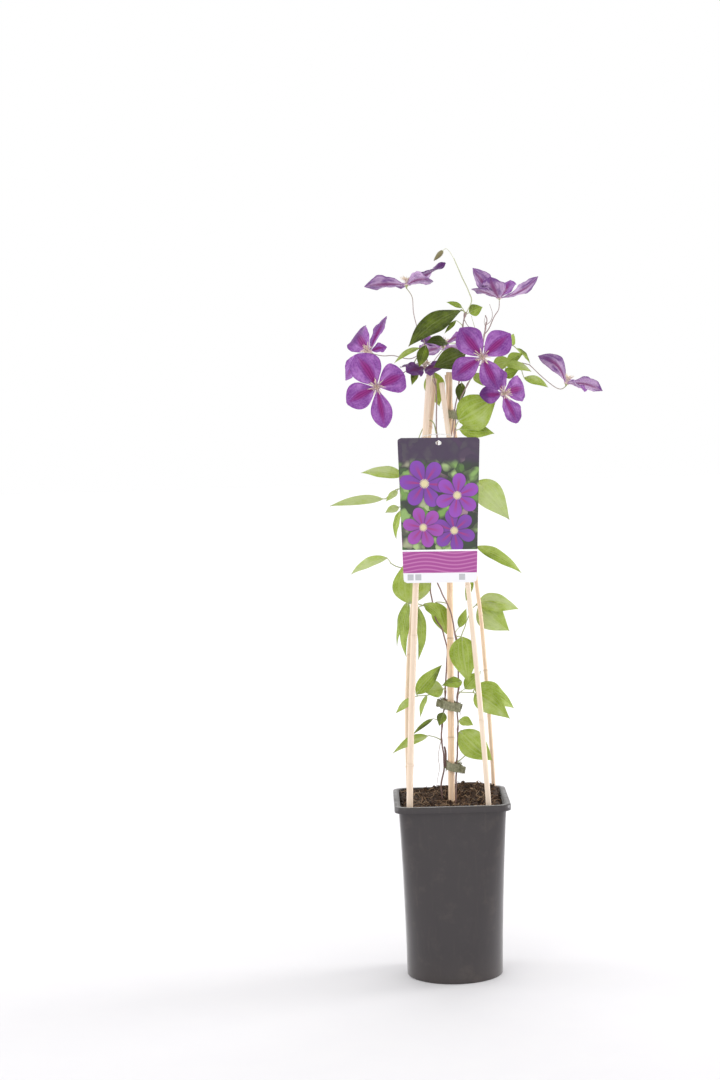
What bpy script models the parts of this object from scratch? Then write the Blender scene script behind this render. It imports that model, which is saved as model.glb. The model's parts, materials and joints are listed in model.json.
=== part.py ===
# Potted clematis: a climbing plant on bamboo canes in a deep nursery pot.
# Millimetres in the tables below, metres in the scene. +Z is up and -Y is the front.
# The origin is on the ground, at the centre of the pot's foot.

import math
from collections import namedtuple

import bmesh
import bpy
from mathutils import Quaternion, Vector

MM = 0.001
GAP = 0.35

# Pot: round at the foot, square at the lip
POT_HEIGHT = 212.0
POT_FOOT_HALF = 57.0
POT_NECK_HALF = 62.5
POT_NECK_CORNER = 13.0
POT_FLARE = 1.8
POT_WALL = 1.4
LIP_HALF = 68.0
LIP_HEIGHT = 6.5
FLOOR_TOP = 4.5
RECESS_DEPTH = 2.5
PAD_RADIUS = 20.0
FOOT_RING_INNER = 49.0
DRAIN_HOLES = 6
DRAIN_CIRCLE = 36.0
DRAIN_RADIUS = 5.0
WALL_LEVELS = (4.5, 40.0, 80.0, 125.0, 165.0, 204.0)
INNER_LEVELS = (4.5, 80.0, 204.0)
CORNER_STEPS = 6

# Soil
SOIL_LEVEL = 206.5
SOIL_BACK_RISE = 4.5
SOIL_MOUND = (24.0, 50.0, 8.0)
SOIL_MOUND_SPREAD = (32.0, 20.0)
SOIL_RINGS = (1.0, 0.86, 0.66, 0.44, 0.22)
SOIL_SINK = 1.2

# Canes: radius, then points from the buried end to the top
CANES = {
    "cane_centre": (4.0, ((0, 0, 60), (1, 0, 214), (5.5, 3, 465), (11, 6, 715))),
    "cane_front_left": (3.75, ((-46, -47, 140), (-50, -52, 212), (-35.5, -30, 471), (-13, -12, 713))),
    "cane_front_right": (3.1, ((39, -45, 140), (42, -50, 211), (25, -28, 469), (1, -12, 703))),
    "cane_back_left": (2.75, ((-46, 42, 140), (-49, 46, 209), (-44, 30, 385), (-6, 14, 708))),
    "cane_back_right": (2.5, ((48, 44, 140), (54, 50, 211), (46, 35, 370), (38, 28, 464), (8, 15, 712))),
}
CANE_SIDES = 10
CANE_STEP = 90.0
CANE_TAPER = 0.94

# Plant label, a card that leans on the two front canes
LABEL_CENTRE = (-6.0, -29.5, 555.0)
LABEL_HEIGHT = 169.0
LABEL_TOP_WIDTH = 96.0
LABEL_BOTTOM_WIDTH = 85.0
LABEL_THICKNESS = 0.8
LABEL_CORNER = 4.0
LABEL_LEAN = math.radians(4.4)
LABEL_ROLL = math.radians(0.9)
LABEL_HOLE_RADIUS = 2.5
LABEL_HOLE_DROP = 5.5
LABEL_LOOP_RADIUS = 0.5
LABEL_LOOP = (
    (-5.5, -24.6, 635.3), (-5.5, -20.6, 634.4), (-16, -11, 633), (-25, -11.5, 634), (-26.5, -19, 636),
    (-22, -21.8, 641.5), (-5.5, -24.4, 643.2), (8, -21, 641.8), (13.6, -17, 637), (10.5, -10.8, 635),
    (0, -13, 633.5), (-3, -20, 632.6), (-5.6, -24.6, 633.2),
)

# Ties round the middle cane: centre, half sizes, turn in degrees, height, tab direction
TIES = {
    "stem_tie_low": ((4.3, -2.2, 248), (8.6, 6.6), -38, 10.0, (11, -6)),
    "stem_tie_middle": ((2.4, 0.3, 321), (12.8, 7.4), -43, 10.5, (-12, -2)),
    "stem_tie_top": ((13.2, 0.2, 665), (11.8, 7.6), -66, 9.0, (10, 8)),
}
TIE_WALL = 1.0
TIE_TAB = 7.0

# Directions that the upper side of a leaf or sepal faces
FRONT = (0, -1, 0.25)
SLANT = (0, -0.8, 0.7)
LEFT = (-0.8, -0.5, 0.4)
RIGHT = (0.8, -0.5, 0.4)
BACK = (0, 0.9, 0.5)

# A leaf: where its stalk leaves the stem (a height, or a point on a side twig), its base, its tip,
# its width, the way that its upper side faces, its arch as a share of its length, and its taper: below 1
# it is widest near its base
Leaf = namedtuple("Leaf", "start base tip width face arch taper", defaults=(0.72,))
Vine = namedtuple("Vine", "stem radii twigs leaves")

RIGHT_STEM = (
    (6, -8, 188), (6, -8, 221), (7.5, -5.5, 248), (9, -8, 275), (10.5, -8.5, 301), (9.5, -6, 321),
    (12, -8.5, 345), (12, -9, 376), (10, -11, 402), (5, -13, 433), (-5, -14, 457), (-11, -14, 475),
    (-12, -13, 505), (-6, -11, 545), (2, -10, 590), (12, -8, 628), (16, -8, 650), (16.5, -7, 665),
    (22, -8, 681), (31, -10, 699), (44, -10, 722), (50, -8, 745), (55, -6, 772),
)
RIGHT_TWIGS = (
    (338, ((20, 2, 336), (30, 6, 335))),
    (388, ((24, 14, 418), (32, 36, 431), (38, 41, 436))),
    (254, ((14, -6, 258), (27, -3, 269))),
    (722, ((60, -5, 723), (78, 0, 722), (92, 2, 724), (105, 0, 721))),
    (742, ((62, -4, 750), (78, 2, 750), (88, 5, 743))),
    (757, ((59.5, 2, 766), (62.5, 4, 773), (67, 6, 781))),
    (765, ((56, -10, 774), (54, -12, 780))),
)
RIGHT_LEAVES = (
    Leaf(281, (12, -8, 291), (50, -6, 255), 33, FRONT, 0.08),
    Leaf(297, (12, -11, 305), (28, -16, 299), 14, SLANT, 0.08),
    Leaf((30, 6, 335), (32, 9, 339), (79, 24, 312), 31, SLANT, 0.10, 0.62),
    Leaf((30, 6, 335), (32, 4, 334), (72, -4, 304), 29, FRONT, 0.06, 0.6),
    Leaf(334, (20, -4, 341), (39, -2, 361), 17, FRONT, 0.05),
    Leaf(346, (16, -14, 351), (-8, -22, 348), 16, SLANT, 0.10),
    Leaf(404, (17, -16, 404), (23, -27, 352), 33, FRONT, 0.08, 0.68),
    Leaf(408, (15, -2, 414), (24, 0, 436), 10, FRONT, 0.05),
    Leaf((38, 41, 436), (40, 43, 438), (89, 52, 428), 27, SLANT, 0.12, 0.66),
    Leaf((38, 41, 436), (41, 43, 434), (77, 46, 403), 35, FRONT, 0.06, 0.62),
    Leaf(498, (31, -10, 472), (23, -15, 446), 9, FRONT, 0.05),
    Leaf(590, (40, -8, 586), (76, -18, 541), 33, FRONT, 0.10, 0.62),
    Leaf(650, (20, -12, 658), (65, -24, 685), 44, FRONT, 0.08, 0.70),
    Leaf(646, (21, -9, 648), (61, -14, 642), 20, FRONT, 0.12),
    Leaf(700, (42, -14, 713), (49, -24, 698), 13, FRONT, 0.05),
    Leaf((88, 5, 743), (90, 5, 741), (106, 2, 722), 12, RIGHT, 0.08),
    Leaf((78, 2, 750), (81, 5, 744), (88, 10, 758), 14, RIGHT, 0.05),
    Leaf((78, 0, 722), (79, -3, 727), (97, -8, 734), 13, FRONT, 0.08),
    Leaf((60, -5, 723), (62, -9, 722), (84, -19, 727), 17, FRONT, 0.05),
    Leaf((60, -5, 723), (72, -7, 723), (106, -14, 713), 13, SLANT, 0.10, 0.9),
    Leaf((78, 0, 722), (75, 2, 709), (92, 0, 715), 14, FRONT, 0.05),
    Leaf((92, 2, 724), (98, -6, 706), (125, -16, 694), 13, SLANT, 0.10),
)

LEFT_STEM = (
    (-10, 6, 188), (-11, 5, 224), (-7, 5, 243), (-7, 5, 261), (-9, 4, 279), (-8, 5, 301),
    (-4.6, 6.2, 321), (-2.5, 8.6, 345), (0, 10, 374), (-1, 9, 395), (-5, 6, 412), (-11, 2, 423),
    (-16, -3, 442), (-18, -6, 467), (-16, -6, 500), (-12, -5, 540), (-5, -5, 580), (3, -5, 610),
    (11, -5, 640), (15, 0, 665), (20, 3, 690), (24, 5, 720), (27, 6, 745), (29, 6, 770), (32, 6, 785),
)
LEFT_TWIGS = (
    (279, ((-16, 2, 283), (-24, -2, 286))),
    (341, ((-22, 4, 334), (-36, -4, 334))),
    (436, ((-28, -10, 442), (-41, -15, 447))),
    (486, ((-35, -8, 485), (-55, -10, 488), (-64, -12, 493))),
    (558, ((-35, -9, 558), (-50, -12, 559))),
    (568, ((-35, -7, 574), (-53, -8, 580), (-68, -12, 569))),
    (780, ((39, 6, 796), (37, 8, 806), (32, 9, 818), (25.8, 10, 833), (19.7, 10, 848))),
)
LEFT_LEAVES = (
    Leaf((-24, -2, 286), (-26, -4, 286), (-68, -22, 269), 13, SLANT, 0.14),
    Leaf(299, (-19, -2, 306), (-44, -14, 289), 6, SLANT, 0.08),
    Leaf(303, (-6, -1, 313), (-12, -7, 298), 12, FRONT, 0.06),
    Leaf(338, (-6, 2, 341), (-29, -7, 339), 20, FRONT, 0.08),
    Leaf((-36, -4, 334), (-38, -8, 337), (-7, -10, 371), 18, FRONT, 0.10),
    Leaf((-36, -4, 334), (-42, -8, 332), (-63, -12, 315), 10, SLANT, 0.08),
    Leaf((-22, 4, 334), (-25, 0, 334), (-34, -8, 309), 11, LEFT, 0.06),
    Leaf((-41, -15, 447), (-42.5, -15, 445), (-42, -15, 500), 45, FRONT, 0.04),
    Leaf((-41, -15, 447), (-44, -16, 446), (-49, -22, 383), 22, LEFT, 0.08),
    Leaf((-41, -15, 447), (-46, -10, 446), (-59, 6, 392), 16, LEFT, 0.06),
    Leaf((-28, -10, 442), (-33, -12, 440), (-35, -20, 379), 20, RIGHT, 0.08),
    Leaf((-28, -10, 442), (-26, -12, 444), (-6, -14, 425), 15, SLANT, 0.16),
    Leaf((-64, -12, 493), (-68, -10, 499), (-111, 12, 479), 15, SLANT, 0.12),
    Leaf((-50, -12, 559), (-53, -13, 559), (-69, -19, 553), 11, SLANT, 0.08),
    Leaf((-50, -12, 559), (-51, -14, 555), (-57, -24, 522), 13, LEFT, 0.08),
    Leaf((-53, -8, 580), (-54, -10, 578), (-68, -18, 566), 9, SLANT, 0.06),
    Leaf((-68, -12, 569), (-71, -13, 569), (-134, -28, 563), 14, SLANT, 0.07),
    Leaf(585, (-46, -4, 595), (-96, 14, 599), 19, SLANT, 0.10),
    Leaf(732, (29, -20, 736), (-9, -43, 721), 27, FRONT, 0.10, 0.9),
    Leaf(745, (10, 0, 749), (-16, -13, 750), 18, SLANT, 0.12, 0.85),
    Leaf(768, (20, 1, 775), (6, -8, 760), 6, SLANT, 0.05),
    Leaf(783, (28, 2, 787), (-37, -34, 746), 30, SLANT, 0.12, 1.1),
    Leaf(781, (36, 5, 784), (52, 6, 790), 15, FRONT, 0.05),
    Leaf(783, (28, 10, 790), (10, 12, 797), 8, SLANT, 0.10),
    Leaf(708, (25, -2, 702), (22, -4, 679), 12, FRONT, 0.05),
)

BACK_STEM = (
    (3, 15, 188), (3, 15, 225), (4, 16, 300), (5, 16, 380), (4, 15, 460), (2, 14, 520), (-3, 9, 580),
    (-6, 3, 640), (-5, 0, 690), (-8, 5, 714), (-15, 8, 732), (-17, 2, 748),
)
BACK_TWIGS = (
    (642, ((-9, -1, 655), (-15, -3, 659), (-24, -5, 646), (-30, -6, 628))),
    (722, ((-14, 14, 726), (-10, 22, 722))),
    (742, ((-24, -4, 737), (-30, -8, 728))),
)
BACK_LEAVES = (
    Leaf((-30, -6, 628), (-31, -7, 624), (-42, -12, 590), 22, FRONT, 0.08),
    Leaf((-10, 22, 722), (-9, 23, 716), (-1, 26, 675), 25, FRONT, 0.05),
    Leaf(744, (-16, -8, 747), (-25, -23, 722), 14, FRONT, 0.06, 0.9),
    Leaf(747, (-22, -6, 744), (-54, -24, 727), 8, SLANT, 0.14, 0.9),
    Leaf((-30, -8, 728), (-28, -10, 719), (-34, -16, 701), 9, FRONT, 0.05),
    Leaf(440, (-12, 20, 442), (2, 26, 402), 21, FRONT, 0.06),
    Leaf(470, (12, 24, 476), (34, 46, 486), 24, BACK, 0.10),
    Leaf(500, (-6, 24, 505), (-36, 46, 518), 26, BACK, 0.10),
    Leaf(528, (12, 22, 536), (22, 46, 566), 24, BACK, 0.10),
    Leaf(520, (38, 12, 508), (91, 14, 475), 17, SLANT, 0.10),
    Leaf(566, (-14, 22, 572), (-40, 42, 594), 24, BACK, 0.10),
    Leaf(604, (0, 20, 612), (24, 44, 606), 22, BACK, 0.10),
)

VINES = {
    "vine_right": Vine(RIGHT_STEM, (1.35, 1.0), RIGHT_TWIGS, RIGHT_LEAVES),
    "vine_left": Vine(LEFT_STEM, (1.35, 1.0), LEFT_TWIGS, LEFT_LEAVES),
    "vine_back": Vine(BACK_STEM, (1.3, 1.0), BACK_TWIGS, BACK_LEAVES),
}
STEM_SIDES = 5
STEM_HOLE_SIDES = 6
STEM_STEP = 15.0
PETIOLE_RADII = (0.85, 0.65)
TWIG_RADII = (1.0, 0.85)
PETIOLE_SIDES = 3
PETIOLE_STEP = 14.0
PETIOLE_ROOT = 1.8
LEAF_THICKNESS = 0.7
LEAF_FOLD = 0.16
LEAF_STATIONS = (0.0, 0.15, 0.36, 0.60, 0.82, 1.0)
SMALL_LEAF = 18.0
SMALL_LEAF_STATIONS = (0.0, 0.20, 0.46, 0.76, 1.0)
BLADE_COLUMNS = 3

# Blooms: centre, the way the face looks, the sepals, how far the stamens lean out, the vine and the
# stalk's start and points. A sepal has its tip, width and arch as a share of its length, the way that
# its upper side faces where that differs from the bloom's face, and its twist in degrees up to the tip
Bloom = namedtuple("Bloom", "centre face sepals spread vine stalk")
Sepal = namedtuple("Sepal", "tip width arch face twist", defaults=(None, 0))
BLOOMS = {
    "bloom_top_left": Bloom(
        (-36, 20, 819), (0.05, 0.15, 1.0),
        (Sepal((-86, 16, 818), 29, 0.06, (0, 0.5, 0.85), 0),
         Sepal((10, 12, 843), 27, -0.03, (0.1, 0.4, 0.9), 105),
         Sepal((-7, -14, 822), 24, 0.06, (0, 0.3, 1), 0), Sepal((-42, 62, 816), 28, 0.10, (0, 0.3, 1), 0)),
        35, "vine_back", (746, ((-19, 4, 757), (-25, 8, 768), (-29, 13, 786), (-30, 17, 804)))),
    "bloom_top_right": Bloom(
        (72, 10, 800), (0.0, 0.05, 1.0),
        (Sepal((42, 14, 836), 27, -0.04, (0.55, 0.65, 0.5), 0),
         Sepal((39, -8, 811), 22, 0.04, (0.1, 0.35, 0.9), 0),
         Sepal((60, -19, 824), 29, -0.06), Sepal((118, 8, 824), 23, -0.09, (-0.15, 0.35, 0.9), -30),
         Sepal((88, 46, 822), 28, -0.04)),
        22, "vine_right", ((67, 6, 781), ((71, 8, 787),))),
    "bloom_left_upper": Bloom(
        (-82, -22, 741), (-0.7, -0.6, 0.35),
        (Sepal((-96, 8, 764), 36, 0.10),
         Sepal((-61, -8, 782), 24, 0.06, (-0.9, -0.38, 0.3), 0),
         Sepal((-62, -22, 746), 15, 0.05), Sepal((-111, -6, 709), 27, 0.08)),
        45, "vine_back", (742, ((-34, -2, 732), (-54, -4, 736), (-66, -8, 736), (-76, -14, 738)))),
    "bloom_left_lower": Bloom(
        (-75, -46, 700), (-0.05, -1.0, 0.1),
        (Sepal((-98, -50, 738), 37, 0.10), Sepal((-110, -50, 682), 32, 0.08),
         Sepal((-67, -50, 653), 25, 0.06), Sepal((-43, -38, 714), 36, 0.14)),
        48, "vine_back", ((-30, -8, 728), ((-40, -16, 718), (-58, -28, 706)))),
    "bloom_front": Bloom(
        (47, -52, 731), (0.0, -1.0, 0.06),
        (Sepal((22, -55, 765), 33, 0.08), Sepal((80, -55, 757), 32, 0.08), Sepal((12, -56, 707), 28, 0.06),
         Sepal((64, -58, 693), 28, 0.06)),
        50, "vine_right", (742, ((49, -22, 738), (47.5, -40, 732.5)))),
    "bloom_front_low": Bloom(
        (70, -36, 688), (0.6, -0.75, 0.2),
        (Sepal((97, -12, 694), 31, 0.08), Sepal((86, -40, 654), 27, 0.06),
         Sepal((43, -50, 688), 21, 0.05), Sepal((62, -28, 720), 26, 0.06)),
        45, "vine_right", (714, ((54, -14, 704), (64, -24, 693)))),
    "bloom_right": Bloom(
        (148, 0, 698), (0.4, 0.1, 1.0),
        (Sepal((116, 4, 731), 26, 0.12, (0.3, 1.0, 0.3), 0),
         Sepal((190, 0, 688), 27, 0.10, (0.1, 0.5, 0.85), 0),
         Sepal((166, -28, 688), 21, 0.10), Sepal((148, 38, 704), 27, 0.08)),
        18, "vine_right", ((105, 0, 721), ((119, 0, 707), (133, 0, 695), (141, 0, 691.5)))),
    "bloom_behind": Bloom(
        (6, 46, 746), (0.0, 0.5, 0.86),
        (Sepal((-21, 24, 752), 25, 0.06, (0, -0.7, 0.7), 0),
         Sepal((28, 20, 757), 25, 0.06, (0, -0.7, 0.7), 0),
         Sepal((-20, 76, 736), 28, 0.06), Sepal((32, 74, 738), 28, 0.06)),
        45, "vine_back", ((-10, 22, 722), ((-4, 34, 731),))),
    "bloom_faded": Bloom(
        (-18, -8, 721), (0.0, -0.1, 1.0),
        (Sepal((-40, -30, 716), 24, 0.05, (0, -0.8, 0.6), 0),
         Sepal((2, -32, 720), 26, 0.05, (0, -0.8, 0.6), 0),
         Sepal((-46, 12, 722), 24, 0.05)),
        62, "vine_back", (700, ((-12, -4, 711),))),
}
SEPAL_THICKNESS = 0.7
SEPAL_FOLD = 0.10
SEPAL_STATIONS = (0.0, 0.22, 0.46, 0.70, 0.88, 1.0)
SEPAL_START = 3.4
RECEPTACLE_RADIUS = 4.1
RECEPTACLE_HALF = 1.0
STALK_NECK = 2.5
BOSS_RADIUS = 2.0
BOSS_HEIGHT = 4.0
FILAMENTS = 8
FILAMENT_LENGTH = 9.5
FILAMENT_RADIUS = 0.4
ANTHER_RADIUS = 0.7

# Bud at the very top
BUD_BASE = (7, 10, 857)
BUD_TIP = (-4, 10, 845.5)
BUD_RADIUS = 3.0
BUD_STALK = ((19.7, 10, 848), ((15, 10, 856), (11, 10, 859.5)))
BUD_PROFILE = ((0.0, 0.25), (0.12, 0.72), (0.35, 1.0), (0.62, 0.82), (0.85, 0.42), (1.0, 0.1))


# Materials
def make_material(name, colour, roughness, metallic=0.0):
    material = bpy.data.materials.new(name)
    material.use_nodes = True
    shader = material.node_tree.nodes["Principled BSDF"]
    shader.inputs["Base Color"].default_value = (*colour, 1.0)
    shader.inputs["Roughness"].default_value = roughness
    shader.inputs["Metallic"].default_value = metallic
    return material


# Mesh helpers
def add_object(name, points, faces, material):
    """A closed mesh object from points in millimetres."""
    mesh = bpy.data.meshes.new(name)
    mesh.from_pydata([tuple(c * MM for c in p) for p in points], [], faces)
    mesh.materials.append(material)
    mesh.update()
    thing = bpy.data.objects.new(name, mesh)
    bpy.context.scene.collection.objects.link(thing)
    return thing


def face_outwards(thing):
    """Triangulate a closed mesh and turn its faces outwards."""
    shape = bmesh.new()
    shape.from_mesh(thing.data)
    bmesh.ops.triangulate(shape, faces=shape.faces)
    bmesh.ops.recalc_face_normals(shape, faces=shape.faces)
    shape.to_mesh(thing.data)
    shape.free()


def bake(thing):
    """Replace an object's mesh by what its modifiers make of it."""
    graph = bpy.context.evaluated_depsgraph_get()
    graph.update()
    baked = bpy.data.meshes.new_from_object(thing.evaluated_get(graph))
    thing.modifiers.clear()
    thing.data = baked


def combine(thing, others, operation, solver="EXACT"):
    """Unite an object with others, or cut them from it, and remove them."""
    group = bpy.data.collections.new(thing.name + "_" + operation.lower())
    bpy.context.scene.collection.children.link(group)
    for other in others:
        bpy.context.scene.collection.objects.unlink(other)
        group.objects.link(other)
    modifier = thing.modifiers.new("combine", "BOOLEAN")
    modifier.operation = operation
    modifier.operand_type = "COLLECTION"
    modifier.collection = group
    modifier.solver = solver
    bake(thing)
    for other in others:
        bpy.data.objects.remove(other)
    bpy.data.collections.remove(group)
    return thing


def smooth(thing, degrees=50.0):
    thing.data.shade_smooth()
    thing.data.set_sharp_from_angle(angle=math.radians(degrees))
    return thing


# Curves
def through(points, step, closed=False):
    """Points about one step apart on a smooth curve through the given ones."""
    knots = [Vector(p) for p in points]
    count = len(knots)
    spans = count if closed else count - 1
    result = []
    for i in range(spans):
        if closed:
            before, start = knots[i - 1], knots[i]
            end, after = knots[(i + 1) % count], knots[(i + 2) % count]
        else:
            start, end = knots[i], knots[i + 1]
            before = knots[i - 1] if i else start * 2 - end
            after = knots[i + 2] if i + 2 < count else end * 2 - start
        pieces = max(1, round((end - start).length / step))
        for k in range(pieces):
            t = k / pieces
            result.append(0.5 * (2 * start + (end - before) * t
                                 + (2 * before - 5 * start + 4 * end - after) * t * t
                                 + (3 * start - before - 3 * end + after) * t ** 3))
    if not closed:
        result.append(knots[-1])
    return result


def tube(name, path, radii, sides, material, closed=False):
    """A tube along a path, with one radius at each end and a straight taper between."""
    count = len(path)
    lengths = [0.0]
    for a, b in zip(path, path[1:]):
        lengths.append(lengths[-1] + (b - a).length)
    points = []
    across = None
    for i, centre in enumerate(path):
        if closed:
            forward = (path[(i + 1) % count] - path[i - 1]).normalized()
        else:
            forward = (path[min(i + 1, count - 1)] - path[max(i - 1, 0)]).normalized()
        if across is None:
            across = forward.orthogonal()
        across = (across - forward * across.dot(forward)).normalized()
        side = forward.cross(across)
        radius = radii[0] + (radii[1] - radii[0]) * lengths[i] / lengths[-1]
        for k in range(sides):
            angle = math.tau * k / sides
            points.append(centre + (across * math.cos(angle) + side * math.sin(angle)) * radius)
    faces = []
    for i in range(count if closed else count - 1):
        low = i * sides
        high = ((i + 1) % count) * sides
        for k in range(sides):
            nxt = (k + 1) % sides
            faces.append((low + k, low + nxt, high + nxt, high + k))
    if not closed:
        faces.append(tuple(reversed(range(sides))))
        faces.append(tuple(range((count - 1) * sides, count * sides)))
    thing = add_object(name, points, faces, material)
    face_outwards(thing)
    return thing


def stem_point(stem, height):
    """The point of a rising stem at a height."""
    path = through(stem, STEM_STEP)
    for a, b in zip(path, path[1:]):
        if a.z <= height <= b.z:
            return a.lerp(b, (height - a.z) / (b.z - a.z))
    return path[-1]


# Leaf and sepal blades
def leaf_outline(t, taper):
    """Half width of a leaf at t, as a share of its half width at the widest."""
    return max(0.06, math.sin(math.pi * t ** taper) ** 1.05)


def sepal_outline(t):
    return max(0.16 if t < 0.5 else 0.08, math.sin(math.pi * t ** 1.32) ** 0.72)


def blade(name, base, tip, width, face, arch, twist, fold, thickness, stations, columns, outline, material):
    """A thin closed blade: two faces split into triangles alike, and an edge strip."""
    base = Vector(base)
    axis = Vector(tip) - base
    length = axis.length
    along = axis.normalized()
    up = Vector(face)
    up = (up - along * up.dot(along)).normalized()
    across = along.cross(up)
    upper = []
    lower = []
    for t in stations:
        middle = base + axis * t + up * (arch * length * 4 * t * (1 - t))
        slope = (along + up * (arch * 4 * (1 - 2 * t))).normalized()
        turned = Quaternion(slope, math.radians(twist) * t * t) @ across
        normal = turned.cross(slope)
        half = 0.5 * width * outline(t)
        for c in range(columns):
            s = 2 * c / (columns - 1) - 1
            point = middle + turned * (half * s) + normal * (fold * half * abs(s))
            upper.append(point + normal * thickness / 2)
            lower.append(point - normal * thickness / 2)
    size = len(upper)
    faces = []
    for r in range(len(stations) - 1):
        for c in range(columns - 1):
            a = r * columns + c
            b, d, e = a + 1, a + columns, a + columns + 1
            if c < (columns - 1) / 2:
                halves = ((a, b, e), (a, e, d))
            else:
                halves = ((a, b, d), (b, e, d))
            faces += [half[::-1] for half in halves]
            faces += [tuple(v + size for v in half) for half in halves]
        left = r * columns
        right = left + columns - 1
        faces += [(left, left + columns, left + columns + size), (left, left + columns + size, left + size)]
        faces += [(right, right + size, right + columns + size)]
        faces += [(right, right + columns + size, right + columns)]
    end = (len(stations) - 1) * columns
    for c in range(columns - 1):
        faces += [(c, c + size, c + 1 + size), (c, c + 1 + size, c + 1)]
        faces += [(end + c, end + c + 1, end + c + 1 + size)]
        faces += [(end + c, end + c + 1 + size, end + c + size)]
    thing = add_object(name, upper + lower, faces, material)
    face_outwards(thing)
    return thing


# Pot
def rounded_square(half, corner, z):
    """Points round a square with rounded corners; a corner as large as the half makes a circle."""
    corner = min(corner, half - 0.4)
    points = []
    for quarter in range(4):
        turn = math.pi / 2 * quarter
        for k in range(CORNER_STEPS + 1):
            angle = math.pi / 2 * k / CORNER_STEPS
            x = half - corner + corner * math.cos(angle)
            y = half - corner + corner * math.sin(angle)
            points.append((x * math.cos(turn) - y * math.sin(turn),
                           x * math.sin(turn) + y * math.cos(turn), z))
    return points


def pot_section(z, inset=0.0):
    """The pot's half width and corner radius at a height."""
    rise = min(1.0, z / WALL_LEVELS[-1])
    half = POT_FOOT_HALF + (POT_NECK_HALF - POT_FOOT_HALF) * rise ** POT_FLARE
    corner = POT_FOOT_HALF + (POT_NECK_CORNER - POT_FOOT_HALF) * rise ** 0.9
    return half - inset, max(corner - inset, 3.0)


def stack(name, rings, material):
    """A closed solid through rings of equal count, capped at both ends."""
    count = len(rings[0])
    points = [p for ring in rings for p in ring]
    faces = []
    for i in range(len(rings) - 1):
        for k in range(count):
            nxt = (k + 1) % count
            faces.append((i * count + k, i * count + nxt, (i + 1) * count + nxt, (i + 1) * count + k))
    faces.append(tuple(reversed(range(count))))
    faces.append(tuple(range((len(rings) - 1) * count, len(rings) * count)))
    thing = add_object(name, points, faces, material)
    face_outwards(thing)
    return thing


def cylinder(name, centre, radius, low, high, sides, material):
    rings = []
    for z in (low, high):
        rings.append([(centre[0] + radius * math.cos(math.tau * k / sides),
                       centre[1] + radius * math.sin(math.tau * k / sides), z) for k in range(sides)])
    return stack(name, rings, material)


def make_pot():
    material = make_material("pot_plastic", (0.075, 0.072, 0.075), 0.55)
    neck = WALL_LEVELS[-1]
    lip_low = POT_HEIGHT - LIP_HEIGHT
    rings = [
        rounded_square(PAD_RADIUS, PAD_RADIUS, 0.0),
        rounded_square(PAD_RADIUS + 0.5, PAD_RADIUS + 0.5, RECESS_DEPTH),
        rounded_square(FOOT_RING_INNER, FOOT_RING_INNER, RECESS_DEPTH),
        rounded_square(FOOT_RING_INNER + 0.6, FOOT_RING_INNER + 0.6, 0.0),
        rounded_square(POT_FOOT_HALF - 1.2, POT_FOOT_HALF, 0.0),
        rounded_square(POT_FOOT_HALF - 0.2, POT_FOOT_HALF, 1.2),
    ]
    for z in WALL_LEVELS:
        half, corner = pot_section(z)
        rings.append(rounded_square(half, corner, z))
    lip_corner = POT_NECK_CORNER + 2
    rings += [
        rounded_square(POT_NECK_HALF, POT_NECK_CORNER, lip_low),
        rounded_square(LIP_HALF, lip_corner, lip_low - 0.4),
        rounded_square(LIP_HALF, lip_corner, POT_HEIGHT - 0.8),
        rounded_square(LIP_HALF - 0.8, lip_corner - 0.8, POT_HEIGHT),
    ]
    half, corner = pot_section(neck, POT_WALL)
    rings.append(rounded_square(half + 0.5, corner + 0.5, POT_HEIGHT))
    rings.append(rounded_square(half, corner, POT_HEIGHT - 0.8))
    for z in reversed(INNER_LEVELS):
        half, corner = pot_section(z, POT_WALL)
        rings.append(rounded_square(half, corner, z))
    pot = stack("pot", rings, material)
    drains = []
    for k in range(DRAIN_HOLES):
        angle = math.tau * k / DRAIN_HOLES
        centre = (DRAIN_CIRCLE * math.cos(angle), DRAIN_CIRCLE * math.sin(angle))
        drains.append(cylinder("drain", centre, DRAIN_RADIUS, -1.0, FLOOR_TOP + 2.0, 8, material))
    combine(pot, drains, "DIFFERENCE")
    return smooth(pot, 35.0)


# Soil
def soil_top(x, y):
    """Height of the soil: low at the front, a mound at the back right, and small lumps."""
    rise = SOIL_BACK_RISE / (1 + math.exp(-y / 14))
    mound_x, mound_y, mound = SOIL_MOUND
    spread_x, spread_y = SOIL_MOUND_SPREAD
    mound *= math.exp(-0.5 * (((x - mound_x) / spread_x) ** 2 + ((y - mound_y) / spread_y) ** 2))
    lumps = 0.7 * math.sin(0.35 * x + 1.0) * math.sin(0.31 * y + 0.4)
    lumps += 0.5 * math.sin(0.17 * x - 0.23 * y)
    return SOIL_LEVEL + rise + mound + lumps


def make_soil(holes):
    material = make_material("peat", (0.035, 0.018, 0.010), 0.95)
    rings = []
    for z in INNER_LEVELS:
        half, corner = pot_section(z, POT_WALL + GAP)
        low = z + GAP if z == FLOOR_TOP else z
        rings.append(rounded_square(half, corner, low))
    edge = rings[-1]
    for scale in SOIL_RINGS:
        sink = SOIL_SINK if scale == 1.0 else 0.0
        rings.append([(x * scale, y * scale, soil_top(x * scale, y * scale) - sink) for x, y, z in edge])
    soil = stack("soil", rings, material)
    cutters = [tube("hole", path, (radius, radius), sides, material) for path, radius, sides in holes]
    combine(soil, cutters, "DIFFERENCE")
    return smooth(soil, 60.0)


def hole_for(points, step, radius, sides):
    """The path and radius of the hole that a cane or stem stands in, wide enough at its flats."""
    path = through(points, step)
    deeper = path[0] + (path[0] - path[1]).normalized() * GAP * 2
    buried = [p for p in path if p.z < POT_HEIGHT + 20]
    return [deeper] + buried + [path[len(buried)]], (radius + GAP) / math.cos(math.pi / sides), sides


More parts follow.
